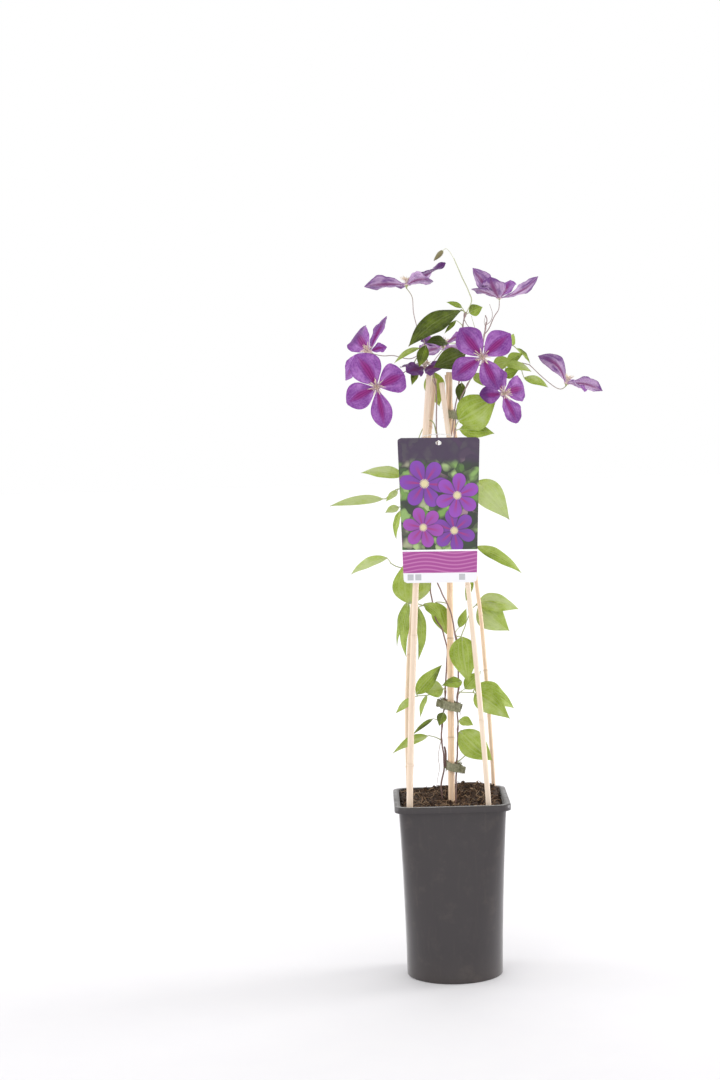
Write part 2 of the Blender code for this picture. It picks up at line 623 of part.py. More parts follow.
# Canes
def make_canes():
    colours = {
        "cane_centre": (0.52, 0.33, 0.17),
        "cane_front_left": (0.72, 0.56, 0.42),
        "cane_front_right": (0.74, 0.58, 0.44),
        "cane_back_left": (0.58, 0.40, 0.25),
        "cane_back_right": (0.62, 0.38, 0.20),
    }
    for name, (radius, points) in CANES.items():
        material = make_material(name.replace("cane", "bamboo"), colours[name], 0.6)
        cane = tube(name, through(points, CANE_STEP), (radius, radius * CANE_TAPER), CANE_SIDES, material)
        smooth(cane)


# Plant label and its loop
def label_frame():
    """The card's centre and its directions: right, up along the card, and out of its face."""
    right = Vector((math.cos(LABEL_ROLL), 0, -math.sin(LABEL_ROLL)))
    out = Vector((0, -math.cos(LABEL_LEAN), math.sin(LABEL_LEAN)))
    up = out.cross(right).normalized()
    return Vector(LABEL_CENTRE), right, up, right.cross(up).normalized()


def make_label():
    material = make_material("label_card", (0.35, 0.08, 0.45), 0.35)
    centre, right, up, out = label_frame()
    half_height = LABEL_HEIGHT / 2
    corners = (
        (LABEL_TOP_WIDTH / 2, half_height, 0), (-LABEL_TOP_WIDTH / 2, half_height, 90),
        (-LABEL_BOTTOM_WIDTH / 2, -half_height, 180), (LABEL_BOTTOM_WIDTH / 2, -half_height, 270),
    )
    outline = []
    for x, y, start in corners:
        inner_x = x - math.copysign(LABEL_CORNER, x)
        inner_y = y - math.copysign(LABEL_CORNER, y)
        for k in range(5):
            angle = math.radians(start + 22.5 * k)
            outline.append((inner_x + LABEL_CORNER * math.cos(angle),
                            inner_y + LABEL_CORNER * math.sin(angle)))
    sides = (LABEL_THICKNESS / 2, -LABEL_THICKNESS / 2)
    rings = [[centre + right * x + up * y - out * depth for x, y in outline] for depth in sides]
    card = stack("label", rings, material)
    hole_centre = centre + up * (half_height - LABEL_HOLE_DROP)
    cutter_path = [hole_centre + out * 3, hole_centre - out * 3]
    cutter = tube("label_hole", cutter_path, (LABEL_HOLE_RADIUS, LABEL_HOLE_RADIUS), 12, material)
    combine(card, [cutter], "DIFFERENCE")
    smooth(card, 30.0)


def make_label_loop():
    material = make_material("loop_plastic", (0.80, 0.80, 0.78), 0.4)
    path = through(LABEL_LOOP, 7.0, closed=True)
    smooth(tube("label_loop", path, (LABEL_LOOP_RADIUS, LABEL_LOOP_RADIUS), 5, material, closed=True))


# Ties
def make_ties():
    material = make_material("tie_plastic", (0.16, 0.17, 0.13), 0.5)
    count = 18
    for name, (centre, halves, turn, height, tab) in TIES.items():
        turn = math.radians(turn)
        loops = []
        for grow, z in ((0, -height / 2), (TIE_WALL, -height / 2), (TIE_WALL, height / 2), (0, height / 2)):
            loop = []
            for k in range(count):
                angle = math.tau * k / count
                x = (halves[0] + grow) * math.cos(angle)
                y = (halves[1] + grow) * math.sin(angle)
                loop.append((centre[0] + x * math.cos(turn) - y * math.sin(turn),
                             centre[1] + x * math.sin(turn) + y * math.cos(turn), centre[2] + z))
            loops.append(loop)
        points = [p for loop in loops for p in loop]
        faces = []
        for i in range(4):
            for k in range(count):
                nxt = (k + 1) % count
                j = (i + 1) % 4
                faces.append((i * count + k, i * count + nxt, j * count + nxt, j * count + k))
        band = add_object(name, points, faces, material)
        face_outwards(band)
        reach = Vector((tab[0], tab[1], 0))
        direction = reach.normalized()
        beyond = Vector(centre).xy + direction.xy * 20
        nearest = min(loops[1], key=lambda p: (Vector(p).xy - beyond).length)
        start = Vector((nearest[0], nearest[1], centre[2])) - direction * 0.6
        end = start + direction * TIE_TAB
        thick = direction.cross(Vector((0, 0, 1))) * TIE_WALL / 2
        rise = Vector((0, 0, height / 2 - 0.8))
        rings = [[p - thick - rise, p + thick - rise, p + thick + rise, p - thick + rise]
                 for p in (start, end)]
        flap = stack(name + "_tab", rings, material)
        combine(band, [flap], "UNION")
        smooth(band, 40.0)


# Vines
def leaf_blade(name, leaf, material):
    stations = SMALL_LEAF_STATIONS if leaf.width <= SMALL_LEAF else LEAF_STATIONS
    return blade(name, leaf.base, leaf.tip, leaf.width, leaf.face, leaf.arch, 0, LEAF_FOLD, LEAF_THICKNESS,
                 stations, BLADE_COLUMNS, lambda t: leaf_outline(t, leaf.taper), material)


def leaf_stalk(name, stem, leaf, material):
    """The petiole, from the stem or twig into the blade's root."""
    start = Vector(leaf.start) if isinstance(leaf.start, tuple) else stem_point(stem, leaf.start)
    base = Vector(leaf.base)
    axis = Vector(leaf.tip) - base
    middle = start.lerp(base, 0.5) + Vector((0, 0, 0.08 * (base - start).length))
    up = Vector(leaf.face)
    up = (up - axis * up.dot(axis) / axis.length_squared).normalized()
    inside = base + (axis.normalized() + up * (leaf.arch * 4)) * PETIOLE_ROOT
    knots = [start, middle, base, inside] if (base - start).length > 6 else [start, base, inside]
    return tube(name, through(knots, PETIOLE_STEP), PETIOLE_RADII, PETIOLE_SIDES, material)


def bloom_frame(bloom):
    return Vector(bloom.centre), Vector(bloom.face).normalized()


def flower_stalk(name, stem, bloom, material):
    """The stalk from the stem or twig to just below the bloom."""
    first, via = bloom.stalk
    start = Vector(first) if isinstance(first, tuple) else stem_point(stem, first)
    centre, face = bloom_frame(bloom)
    end = centre - face * (RECEPTACLE_HALF + GAP)
    knots = [start] + [Vector(p) for p in via] + [end - face * STALK_NECK, end]
    return tube(name, through(knots, PETIOLE_STEP), PETIOLE_RADII, PETIOLE_SIDES, material)


def make_vine(name, vine):
    material = make_material(name + "_green", (0.16, 0.30, 0.05), 0.55)
    body = tube(name, through(vine.stem, STEM_STEP), vine.radii, STEM_SIDES, material)
    pieces = []
    for height, points in vine.twigs:
        knots = [stem_point(vine.stem, height)] + [Vector(p) for p in points]
        path = through(knots, PETIOLE_STEP)
        pieces.append(tube(name + "_twig", path, TWIG_RADII, PETIOLE_SIDES, material))
    for leaf in vine.leaves:
        pieces.append(leaf_stalk(name + "_petiole", vine.stem, leaf, material))
        pieces.append(leaf_blade(name + "_leaf", leaf, material))
    for bloom in BLOOMS.values():
        if bloom.vine == name:
            pieces.append(flower_stalk(name + "_stalk", vine.stem, bloom, material))
    if name == "vine_left":
        pieces.append(bud_stalk(name + "_bud_stalk", material))
    combine(body, pieces, "UNION", "MANIFOLD")
    smooth(body, 40.0)


# Blooms
def make_sepals(name, bloom, material):
    centre, face = bloom_frame(bloom)
    body = tube(name + "_sepals", [centre - face * RECEPTACLE_HALF, centre + face * RECEPTACLE_HALF],
                (RECEPTACLE_RADIUS, RECEPTACLE_RADIUS), 8, material)
    pieces = []
    for sepal in bloom.sepals:
        outward = Vector(sepal.tip) - centre
        outward = (outward - face * outward.dot(face)).normalized()
        pieces.append(blade(name + "_sepal", centre + outward * SEPAL_START, sepal.tip, sepal.width,
                            sepal.face or bloom.face, sepal.arch, sepal.twist, SEPAL_FOLD, SEPAL_THICKNESS,
                            SEPAL_STATIONS, BLADE_COLUMNS, sepal_outline, material))
    combine(body, pieces, "UNION", "MANIFOLD")
    smooth(body, 40.0)


def make_stamens(name, bloom, material):
    """A boss on the receptacle with a ring of filaments, thicker at their anthers."""
    centre, face = bloom_frame(bloom)
    side = face.orthogonal().normalized()
    other = face.cross(side)
    low = centre + face * (RECEPTACLE_HALF + GAP)
    body = tube(name + "_stamens", [low, low + face * BOSS_HEIGHT], (BOSS_RADIUS, BOSS_RADIUS * 0.6), 8,
                material)
    pieces = []
    lean = math.radians(bloom.spread)
    for k in range(FILAMENTS):
        angle = math.tau * k / FILAMENTS
        outward = side * math.cos(angle) + other * math.sin(angle)
        direction = face * math.cos(lean) + outward * math.sin(lean)
        root = low + face * (BOSS_HEIGHT * 0.5) + outward * (BOSS_RADIUS * 0.5)
        end = root + direction * FILAMENT_LENGTH
        pieces.append(tube("filament", [root, end], (FILAMENT_RADIUS, ANTHER_RADIUS), 3, material))
    combine(body, pieces, "UNION", "MANIFOLD")
    smooth(body, 40.0)


def make_blooms():
    purple = make_material("sepal_purple", (0.16, 0.035, 0.36), 0.5)
    cream = make_material("stamen_cream", (0.72, 0.62, 0.38), 0.6)
    for name, bloom in BLOOMS.items():
        make_sepals(name, bloom, purple)
        make_stamens(name, bloom, cream)


# Bud
def bud_stalk(name, material):
    first, via = BUD_STALK
    base = Vector(BUD_BASE)
    away = (base - Vector(BUD_TIP)).normalized()
    knots = [Vector(first)] + [Vector(p) for p in via] + [base + away * 1.5, base + away * GAP]
    return tube(name, through(knots, 5.0), PETIOLE_RADII, PETIOLE_SIDES, material)


def make_bud():
    material = make_material("bud_olive", (0.20, 0.17, 0.09), 0.6)
    base = Vector(BUD_BASE)
    axis = Vector(BUD_TIP) - base
    along = axis.normalized()
    side = along.orthogonal().normalized()
    other = along.cross(side)
    rings = []
    for share, width in BUD_PROFILE:
        ring = []
        for k in range(10):
            angle = math.tau * k / 10
            spoke = side * math.cos(angle) + other * math.sin(angle)
            ring.append(base + axis * share + spoke * (BUD_RADIUS * width))
        rings.append(ring)
    smooth(stack("bud", rings, material))


def main():
    for thing in list(bpy.data.objects):
        bpy.data.objects.remove(thing)
    make_pot()
    holes = [hole_for(points, CANE_STEP, radius, CANE_SIDES) for radius, points in CANES.values()]
    holes += [hole_for(vine.stem, STEM_STEP, vine.radii[0], STEM_HOLE_SIDES) for vine in VINES.values()]
    make_soil(holes)
    make_canes()
    make_label()
    make_label_loop()
    make_ties()
    for name, vine in VINES.items():
        make_vine(name, vine)
    make_blooms()
    make_bud()


main()
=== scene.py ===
import json
import math
import random
from collections import namedtuple

import bpy
import numpy as np
from mathutils import Matrix, Quaternion, Vector, noise

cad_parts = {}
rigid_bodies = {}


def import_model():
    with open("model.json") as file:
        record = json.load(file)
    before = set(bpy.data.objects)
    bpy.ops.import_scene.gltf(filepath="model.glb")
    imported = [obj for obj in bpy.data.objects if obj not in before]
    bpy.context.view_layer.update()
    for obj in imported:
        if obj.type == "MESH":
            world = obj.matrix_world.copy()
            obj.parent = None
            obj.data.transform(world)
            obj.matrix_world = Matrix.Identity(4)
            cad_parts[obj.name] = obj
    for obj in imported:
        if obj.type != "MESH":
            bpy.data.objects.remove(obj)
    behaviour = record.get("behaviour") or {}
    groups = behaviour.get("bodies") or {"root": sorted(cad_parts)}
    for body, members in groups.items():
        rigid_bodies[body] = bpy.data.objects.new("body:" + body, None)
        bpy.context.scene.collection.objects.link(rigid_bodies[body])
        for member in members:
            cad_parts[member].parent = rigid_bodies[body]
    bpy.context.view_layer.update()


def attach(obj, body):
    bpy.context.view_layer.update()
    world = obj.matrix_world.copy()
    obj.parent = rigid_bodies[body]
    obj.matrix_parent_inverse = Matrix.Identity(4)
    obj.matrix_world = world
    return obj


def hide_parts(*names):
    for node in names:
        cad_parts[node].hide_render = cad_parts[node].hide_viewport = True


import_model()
MM = 0.001

# Air between pieces that touch
GAP = 0.35

# Pot: round at the foot, square at the lip
POT_HEIGHT = 212.0
POT_FOOT_HALF = 57.0
POT_NECK_HALF = 62.5
POT_NECK_CORNER = 13.0
POT_FLARE = 1.8
POT_WALL = 1.4
LIP_HALF = 68.0
LIP_HEIGHT = 6.5
FLOOR_TOP = 4.5
RECESS_DEPTH = 2.5
PAD_RADIUS = 20.0
FOOT_RING_INNER = 49.0
DRAIN_HOLES = 6
DRAIN_CIRCLE = 36.0
DRAIN_RADIUS = 5.0

# Soil
SOIL_LEVEL = 206.5
SOIL_BACK_RISE = 4.5
SOIL_MOUND = (24.0, 50.0, 8.0)
SOIL_MOUND_SPREAD = (32.0 * math.sqrt(2), 20.0 * math.sqrt(2))

# Canes: radius, then points from the buried end to the top
CANES = {
    "cane_centre": (4.0, ((0, 0, 60), (1, 0, 214), (5.5, 3, 465), (11, 6, 715))),
    "cane_front_left": (3.75, ((-46, -47, 140), (-50, -52, 212), (-35.5, -30, 471), (-13, -12, 713))),
    "cane_front_right": (3.1, ((39, -45, 140), (42, -50, 211), (25, -28, 469), (1, -12, 703))),
    "cane_back_left": (2.75, ((-46, 42, 140), (-49, 46, 209), (-44, 30, 385), (-6, 14, 708))),
    "cane_back_right": (2.5, ((48, 44, 140), (54, 50, 211), (46, 35, 370), (38, 28, 464), (8, 15, 712))),
}
CANE_TAPER = 0.94

# Plant label, a card that leans on the two front canes
LABEL_CENTRE = (-6.0, -29.5, 555.0)
LABEL_HEIGHT = 169.0
LABEL_TOP_WIDTH = 96.0
LABEL_BOTTOM_WIDTH = 85.0
LABEL_THICKNESS = 0.8
LABEL_CORNER = 4.0
LABEL_LEAN = math.radians(4.4)
LABEL_ROLL = math.radians(0.9)
LABEL_HOLE_RADIUS = 2.5
LABEL_HOLE_DROP = 5.5
LABEL_LOOP_RADIUS = 0.5
LABEL_LOOP = (
    (-5.5, -24.6, 635.3), (-5.5, -20.6, 634.4), (-16, -11, 633), (-25, -11.5, 634), (-26.5, -19, 636),
    (-22, -21.8, 641.5), (-5.5, -24.4, 643.2), (8, -21, 641.8), (13.6, -17, 637), (10.5, -10.8, 635),
    (0, -13, 633.5), (-3, -20, 632.6), (-5.6, -24.6, 633.2),
)

# Ties round the middle cane: centre, half sizes, turn in degrees, height, tab direction
Tie = namedtuple("Tie", "centre halves turn height tab")
TIES = {
    "stem_tie_low": Tie((4.3, -2.2, 248), (8.6, 6.6), -38, 10.0, (11, -6)),
    "stem_tie_middle": Tie((2.4, 0.3, 321), (12.8, 7.4), -43, 10.5, (-12, -2)),
    "stem_tie_top": Tie((13.2, 0.2, 665), (11.8, 7.6), -66, 9.0, (10, 8)),
}
TIE_TAB = 7.0

# Directions that the upper side of a leaf or sepal faces
FRONT = (0, -1, 0.25)
SLANT = (0, -0.8, 0.7)
LEFT = (-0.8, -0.5, 0.4)
RIGHT = (0.8, -0.5, 0.4)
BACK = (0, 0.9, 0.5)

# A leaf: where its stalk leaves the stem (a height, or a point on a side twig), its base, its tip,
# its width, the way that its upper side faces, its arch as a share of its length, and its taper: below 1
# it is widest near its base
Leaf = namedtuple("Leaf", "start base tip width face arch taper", defaults=(0.72,))
Vine = namedtuple("Vine", "stem twigs leaves")

RIGHT_STEM = (
    (6, -8, 188), (6, -8, 221), (7.5, -5.5, 248), (9, -8, 275), (10.5, -8.5, 301), (9.5, -6, 321),
    (12, -8.5, 345), (12, -9, 376), (10, -11, 402), (5, -13, 433), (-5, -14, 457), (-11, -14, 475),
    (-12, -13, 505), (-6, -11, 545), (2, -10, 590), (12, -8, 628), (16, -8, 650), (16.5, -7, 665),
    (22, -8, 681), (31, -10, 699), (44, -10, 722), (50, -8, 745), (55, -6, 772),
)
RIGHT_TWIGS = (
    (338, ((20, 2, 336), (30, 6, 335))),
    (388, ((24, 14, 418), (32, 36, 431), (38, 41, 436))),
    (254, ((14, -6, 258), (27, -3, 269))),
    (722, ((60, -5, 723), (78, 0, 722), (92, 2, 724), (105, 0, 721))),
    (742, ((62, -4, 750), (78, 2, 750), (88, 5, 743))),
    (757, ((59.5, 2, 766), (62.5, 4, 773), (67, 6, 781))),
    (765, ((56, -10, 774), (54, -12, 780))),
)
RIGHT_LEAVES = (
    Leaf(281, (12, -8, 291), (50, -6, 255), 33, FRONT, 0.08),
    Leaf(297, (12, -11, 305), (28, -16, 299), 14, SLANT, 0.08),
    Leaf((30, 6, 335), (32, 9, 339), (79, 24, 312), 31, SLANT, 0.10, 0.62),
    Leaf((30, 6, 335), (32, 4, 334), (72, -4, 304), 29, FRONT, 0.06, 0.6),
    Leaf(334, (20, -4, 341), (39, -2, 361), 17, FRONT, 0.05),
    Leaf(346, (16, -14, 351), (-8, -22, 348), 16, SLANT, 0.10),
    Leaf(404, (17, -16, 404), (23, -27, 352), 33, FRONT, 0.08, 0.68),
    Leaf(408, (15, -2, 414), (24, 0, 436), 10, FRONT, 0.05),
    Leaf((38, 41, 436), (40, 43, 438), (89, 52, 428), 27, SLANT, 0.12, 0.66),
    Leaf((38, 41, 436), (41, 43, 434), (77, 46, 403), 35, FRONT, 0.06, 0.62),
    Leaf(498, (31, -10, 472), (23, -15, 446), 9, FRONT, 0.05),
    Leaf(590, (40, -8, 586), (76, -18, 541), 33, FRONT, 0.10, 0.62),
    Leaf(650, (20, -12, 658), (65, -24, 685), 44, FRONT, 0.08, 0.70),
    Leaf(646, (21, -9, 648), (61, -14, 642), 20, FRONT, 0.12),
    Leaf(700, (42, -14, 713), (49, -24, 698), 13, FRONT, 0.05),
    Leaf((88, 5, 743), (90, 5, 741), (106, 2, 722), 12, RIGHT, 0.08),
    Leaf((78, 2, 750), (81, 5, 744), (88, 10, 758), 14, RIGHT, 0.05),
    Leaf((78, 0, 722), (79, -3, 727), (97, -8, 734), 13, FRONT, 0.08),
    Leaf((60, -5, 723), (62, -9, 722), (84, -19, 727), 17, FRONT, 0.05),
    Leaf((60, -5, 723), (72, -7, 723), (106, -14, 713), 13, SLANT, 0.10, 0.9),
    Leaf((78, 0, 722), (75, 2, 709), (92, 0, 715), 14, FRONT, 0.05),
    Leaf((92, 2, 724), (98, -6, 706), (125, -16, 694), 13, SLANT, 0.10),
)

LEFT_STEM = (
    (-10, 6, 188), (-11, 5, 224), (-7, 5, 243), (-7, 5, 261), (-9, 4, 279), (-8, 5, 301),
    (-4.6, 6.2, 321), (-2.5, 8.6, 345), (0, 10, 374), (-1, 9, 395), (-5, 6, 412), (-11, 2, 423),
    (-16, -3, 442), (-18, -6, 467), (-16, -6, 500), (-12, -5, 540), (-5, -5, 580), (3, -5, 610),
    (11, -5, 640), (15, 0, 665), (20, 3, 690), (24, 5, 720), (27, 6, 745), (29, 6, 770), (32, 6, 785),
)
LEFT_TWIGS = (
    (279, ((-16, 2, 283), (-24, -2, 286))),
    (341, ((-22, 4, 334), (-36, -4, 334))),
    (436, ((-28, -10, 442), (-41, -15, 447))),
    (486, ((-35, -8, 485), (-55, -10, 488), (-64, -12, 493))),
    (558, ((-35, -9, 558), (-50, -12, 559))),
    (568, ((-35, -7, 574), (-53, -8, 580), (-68, -12, 569))),
    (780, ((39, 6, 796), (37, 8, 806), (32, 9, 818), (25.8, 10, 833), (19.7, 10, 848))),
)
LEFT_LEAVES = (
    Leaf((-24, -2, 286), (-26, -4, 286), (-68, -22, 269), 13, SLANT, 0.14),
    Leaf(299, (-19, -2, 306), (-44, -14, 289), 6, SLANT, 0.08),
    Leaf(303, (-6, -1, 313), (-12, -7, 298), 12, FRONT, 0.06),
    Leaf(338, (-6, 2, 341), (-29, -7, 339), 20, FRONT, 0.08),
    Leaf((-36, -4, 334), (-38, -8, 337), (-7, -10, 371), 18, FRONT, 0.10),
    Leaf((-36, -4, 334), (-42, -8, 332), (-63, -12, 315), 10, SLANT, 0.08),
    Leaf((-22, 4, 334), (-25, 0, 334), (-34, -8, 309), 11, LEFT, 0.06),
    Leaf((-41, -15, 447), (-42.5, -15, 445), (-42, -15, 500), 45, FRONT, 0.04),
    Leaf((-41, -15, 447), (-44, -16, 446), (-49, -22, 383), 22, LEFT, 0.08),
    Leaf((-41, -15, 447), (-46, -10, 446), (-59, 6, 392), 16, LEFT, 0.06),
    Leaf((-28, -10, 442), (-33, -12, 440), (-35, -20, 379), 20, RIGHT, 0.08),
    Leaf((-28, -10, 442), (-26, -12, 444), (-6, -14, 425), 15, SLANT, 0.16),
    Leaf((-64, -12, 493), (-68, -10, 499), (-111, 12, 479), 15, SLANT, 0.12),
    Leaf((-50, -12, 559), (-53, -13, 559), (-69, -19, 553), 11, SLANT, 0.08),
    Leaf((-50, -12, 559), (-51, -14, 555), (-57, -24, 522), 13, LEFT, 0.08),
    Leaf((-53, -8, 580), (-54, -10, 578), (-68, -18, 566), 9, SLANT, 0.06),
    Leaf((-68, -12, 569), (-71, -13, 569), (-134, -28, 563), 14, SLANT, 0.07),
    Leaf(585, (-46, -4, 595), (-96, 14, 599), 19, SLANT, 0.10),
    Leaf(732, (29, -20, 736), (-9, -43, 721), 27, FRONT, 0.10, 0.9),
    Leaf(745, (10, 0, 749), (-16, -13, 750), 18, SLANT, 0.12, 0.85),
    Leaf(768, (20, 1, 775), (6, -8, 760), 6, SLANT, 0.05),
    Leaf(783, (28, 2, 787), (-37, -34, 746), 30, SLANT, 0.12, 1.1),
    Leaf(781, (36, 5, 784), (52, 6, 790), 15, FRONT, 0.05),
    Leaf(783, (28, 10, 790), (10, 12, 797), 8, SLANT, 0.10),
    Leaf(708, (25, -2, 702), (22, -4, 679), 12, FRONT, 0.05),
)

BACK_STEM = (
    (3, 15, 188), (3, 15, 225), (4, 16, 300), (5, 16, 380), (4, 15, 460), (2, 14, 520), (-3, 9, 580),
    (-6, 3, 640), (-5, 0, 690), (-8, 5, 714), (-15, 8, 732), (-17, 2, 748),
)
BACK_TWIGS = (
    (642, ((-9, -1, 655), (-15, -3, 659), (-24, -5, 646), (-30, -6, 628))),
    (722, ((-14, 14, 726), (-10, 22, 722))),
    (742, ((-24, -4, 737), (-30, -8, 728))),
)
BACK_LEAVES = (
    Leaf((-30, -6, 628), (-31, -7, 624), (-42, -12, 590), 22, FRONT, 0.08),
    Leaf((-10, 22, 722), (-9, 23, 716), (-1, 26, 675), 25, FRONT, 0.05),
    Leaf(744, (-16, -8, 747), (-25, -23, 722), 14, FRONT, 0.06, 0.9),
    Leaf(747, (-22, -6, 744), (-54, -24, 727), 8, SLANT, 0.14, 0.9),
    Leaf((-30, -8, 728), (-28, -10, 719), (-34, -16, 701), 9, FRONT, 0.05),
    Leaf(440, (-12, 20, 442), (2, 26, 402), 21, FRONT, 0.06),
    Leaf(470, (12, 24, 476), (34, 46, 486), 24, BACK, 0.10),
    Leaf(500, (-6, 24, 505), (-36, 46, 518), 26, BACK, 0.10),
    Leaf(528, (12, 22, 536), (22, 46, 566), 24, BACK, 0.10),
    Leaf(520, (38, 12, 508), (91, 14, 475), 17, SLANT, 0.10),
    Leaf(566, (-14, 22, 572), (-40, 42, 594), 24, BACK, 0.10),
    Leaf(604, (0, 20, 612), (24, 44, 606), 22, BACK, 0.10),
)

VINES = {
    "vine_right": Vine(RIGHT_STEM, RIGHT_TWIGS, RIGHT_LEAVES),
    "vine_left": Vine(LEFT_STEM, LEFT_TWIGS, LEFT_LEAVES),
    "vine_back": Vine(BACK_STEM, BACK_TWIGS, BACK_LEAVES),
}
STEM_STEP = 15.0
LEAF_FOLD = 0.16
SMALL_LEAF = 18.0

# Blooms: centre, the way the face looks, the sepals, how far the stamens lean out, the vine and the
# stalk's start and points. A sepal has its tip, width and arch as a share of its length, the way that
# its upper side faces where that differs from the bloom's face, and its twist in degrees up to the tip
Bloom = namedtuple("Bloom", "centre face sepals spread vine stalk")
Sepal = namedtuple("Sepal", "tip width arch face twist", defaults=(None, 0))
BLOOMS = {
    "bloom_top_left": Bloom(
        (-36, 20, 819), (0.05, 0.15, 1.0),
        (Sepal((-86, 16, 818), 29, 0.06, (0, 0.5, 0.85)),
         Sepal((10, 12, 843), 27, -0.03, (0.1, 0.4, 0.9), 105),
         Sepal((-7, -14, 822), 24, 0.06, (0, 0.3, 1)), Sepal((-42, 62, 816), 28, 0.10, (0, 0.3, 1))),
        35, "vine_back", (746, ((-19, 4, 757), (-25, 8, 768), (-29, 13, 786), (-30, 17, 804)))),
    "bloom_top_right": Bloom(
        (72, 10, 800), (0.0, 0.05, 1.0),
        (Sepal((42, 14, 836), 27, -0.04, (0.55, 0.65, 0.5)),
         Sepal((39, -8, 811), 22, 0.04, (0.1, 0.35, 0.9)),
         Sepal((60, -19, 824), 29, -0.06), Sepal((118, 8, 824), 23, -0.09, (-0.15, 0.35, 0.9), -30),
         Sepal((88, 46, 822), 28, -0.04)),
        22, "vine_right", ((67, 6, 781), ((71, 8, 787),))),
    "bloom_left_upper": Bloom(
        (-82, -22, 741), (-0.7, -0.6, 0.35),
        (Sepal((-96, 8, 764), 36, 0.10),
         Sepal((-61, -8, 782), 24, 0.06, (-0.9, -0.38, 0.3)),
         Sepal((-62, -22, 746), 15, 0.05), Sepal((-111, -6, 709), 27, 0.08)),
        45, "vine_back", (742, ((-34, -2, 732), (-54, -4, 736), (-66, -8, 736), (-76, -14, 738)))),
    "bloom_left_lower": Bloom(
        (-75, -46, 700), (-0.05, -1.0, 0.1),
        (Sepal((-98, -50, 738), 37, 0.10), Sepal((-110, -50, 682), 32, 0.08),
         Sepal((-67, -50, 653), 25, 0.06), Sepal((-43, -38, 714), 36, 0.14)),
        48, "vine_back", ((-30, -8, 728), ((-40, -16, 718), (-58, -28, 706)))),
    "bloom_front": Bloom(
        (47, -52, 731), (0.0, -1.0, 0.06),
        (Sepal((22, -55, 765), 33, 0.08), Sepal((80, -55, 757), 32, 0.08), Sepal((12, -56, 707), 28, 0.06),
         Sepal((64, -58, 693), 28, 0.06)),
        50, "vine_right", (742, ((49, -22, 738), (47.5, -40, 732.5)))),
    "bloom_front_low": Bloom(
        (70, -36, 688), (0.6, -0.75, 0.2),
        (Sepal((97, -12, 694), 31, 0.08), Sepal((86, -40, 654), 27, 0.06),
         Sepal((43, -50, 688), 21, 0.05), Sepal((62, -28, 720), 26, 0.06)),
        45, "vine_right", (714, ((54, -14, 704), (64, -24, 693)))),
    "bloom_right": Bloom(
        (148, 0, 698), (0.4, 0.1, 1.0),
        (Sepal((116, 4, 731), 26, 0.12, (0.3, 1.0, 0.3)),
         Sepal((190, 0, 688), 27, 0.10, (0.1, 0.5, 0.85)),
         Sepal((166, -28, 688), 21, 0.10), Sepal((148, 38, 704), 27, 0.08)),
        18, "vine_right", ((105, 0, 721), ((119, 0, 707), (133, 0, 695), (141, 0, 691.5)))),
    "bloom_behind": Bloom(
        (6, 46, 746), (0.0, 0.5, 0.86),
        (Sepal((-21, 24, 752), 25, 0.06, (0, -0.7, 0.7)),
         Sepal((28, 20, 757), 25, 0.06, (0, -0.7, 0.7)),
         Sepal((-20, 76, 736), 28, 0.06), Sepal((32, 74, 738), 28, 0.06)),
        45, "vine_back", ((-10, 22, 722), ((-4, 34, 731),))),
    "bloom_faded": Bloom(
        (-18, -8, 721), (0.0, -0.1, 1.0),
        (Sepal((-40, -30, 716), 24, 0.05, (0, -0.8, 0.6)),
         Sepal((2, -32, 720), 26, 0.05, (0, -0.8, 0.6)),
         Sepal((-46, 12, 722), 24, 0.05)),
        62, "vine_back", (700, ((-12, -4, 711),))),
}
SEPAL_FOLD = 0.10
FILAMENT_LENGTH = 9.5

# Bud at the very top
BUD_BASE = (7, 10, 857)
BUD_TIP = (-4, 10, 845.5)
BUD_RADIUS = 3.0
BUD_STALK = ((19.7, 10, 848), ((15, 10, 856), (11, 10, 859.5)))

# Finer shapes than the CAD model's
POT_NECK_HEIGHT = 204.0
FOOT_ROUND = 1.2
CORNER_STEPS = 14
FLAT_STEPS = 8
WALL_STEPS = 34
INNER_STEPS = 12
SOIL_RINGS = 44
SOIL_REACH = 59.0
SOIL_CORNER = 0.86 * POT_NECK_HALF
SOIL_EDGE_SINK = 2.2
SOIL_EDGE = 0.07
CRUMB_HEIGHTS = (2.2, 4.2)
CANE_STEP = 90.0
CANE_SIDES = 20
JOINT_ROWS = (-2.5, -1.6, -0.9, -0.3, 0.3, 0.9, 1.8, 3.0)
LABEL_GRID = (84, 48)
LABEL_BOW = 0.9
LABEL_ARCH = 0.5
HOLE_REACH = 2.5
ROW_CROWDING = 0.35
EDGE_THICKNESS = 0.35
STEM_RADII = (0.98, 0.72)
TWIG_RADII = (0.7, 0.55)
TIE_TILT = 0.2
TIE_FRAYS = 70
TIE_ROWS = 5
TIE_SIDES = 56
LEAF_THICKNESS = 0.34
LEAF_GRID = (34, 19)
SMALL_LEAF_GRID = (24, 13)
LEAF_VEIN_PLACES = (0.34, 0.66)
BIG_LEAF = 40.0
SMALL_SEPAL = 20.0
SEPAL_LINE_PLACES = (0.17, 0.33, 0.55)
SEPAL_THICKNESS = 0.32
SEPAL_GRID = (40, 25)
# Sepals that curl out of the CAD sepal's plain shape: share of its width, facing and sideways bow
SEPAL_LOOKS = {
    ("bloom_top_left", 1): (1.0, (0.1, 0.62, 0.75), 0.0),
    ("bloom_top_left", 2): (1.0, (0.0, 0.8, 0.6), 0.1),
    ("bloom_left_upper", 1): (0.92, (-0.78, -0.55, 0.3), 0.12),
    ("bloom_right", 0): (0.82, (0.45, 0.9, 0.3), -0.28),
}
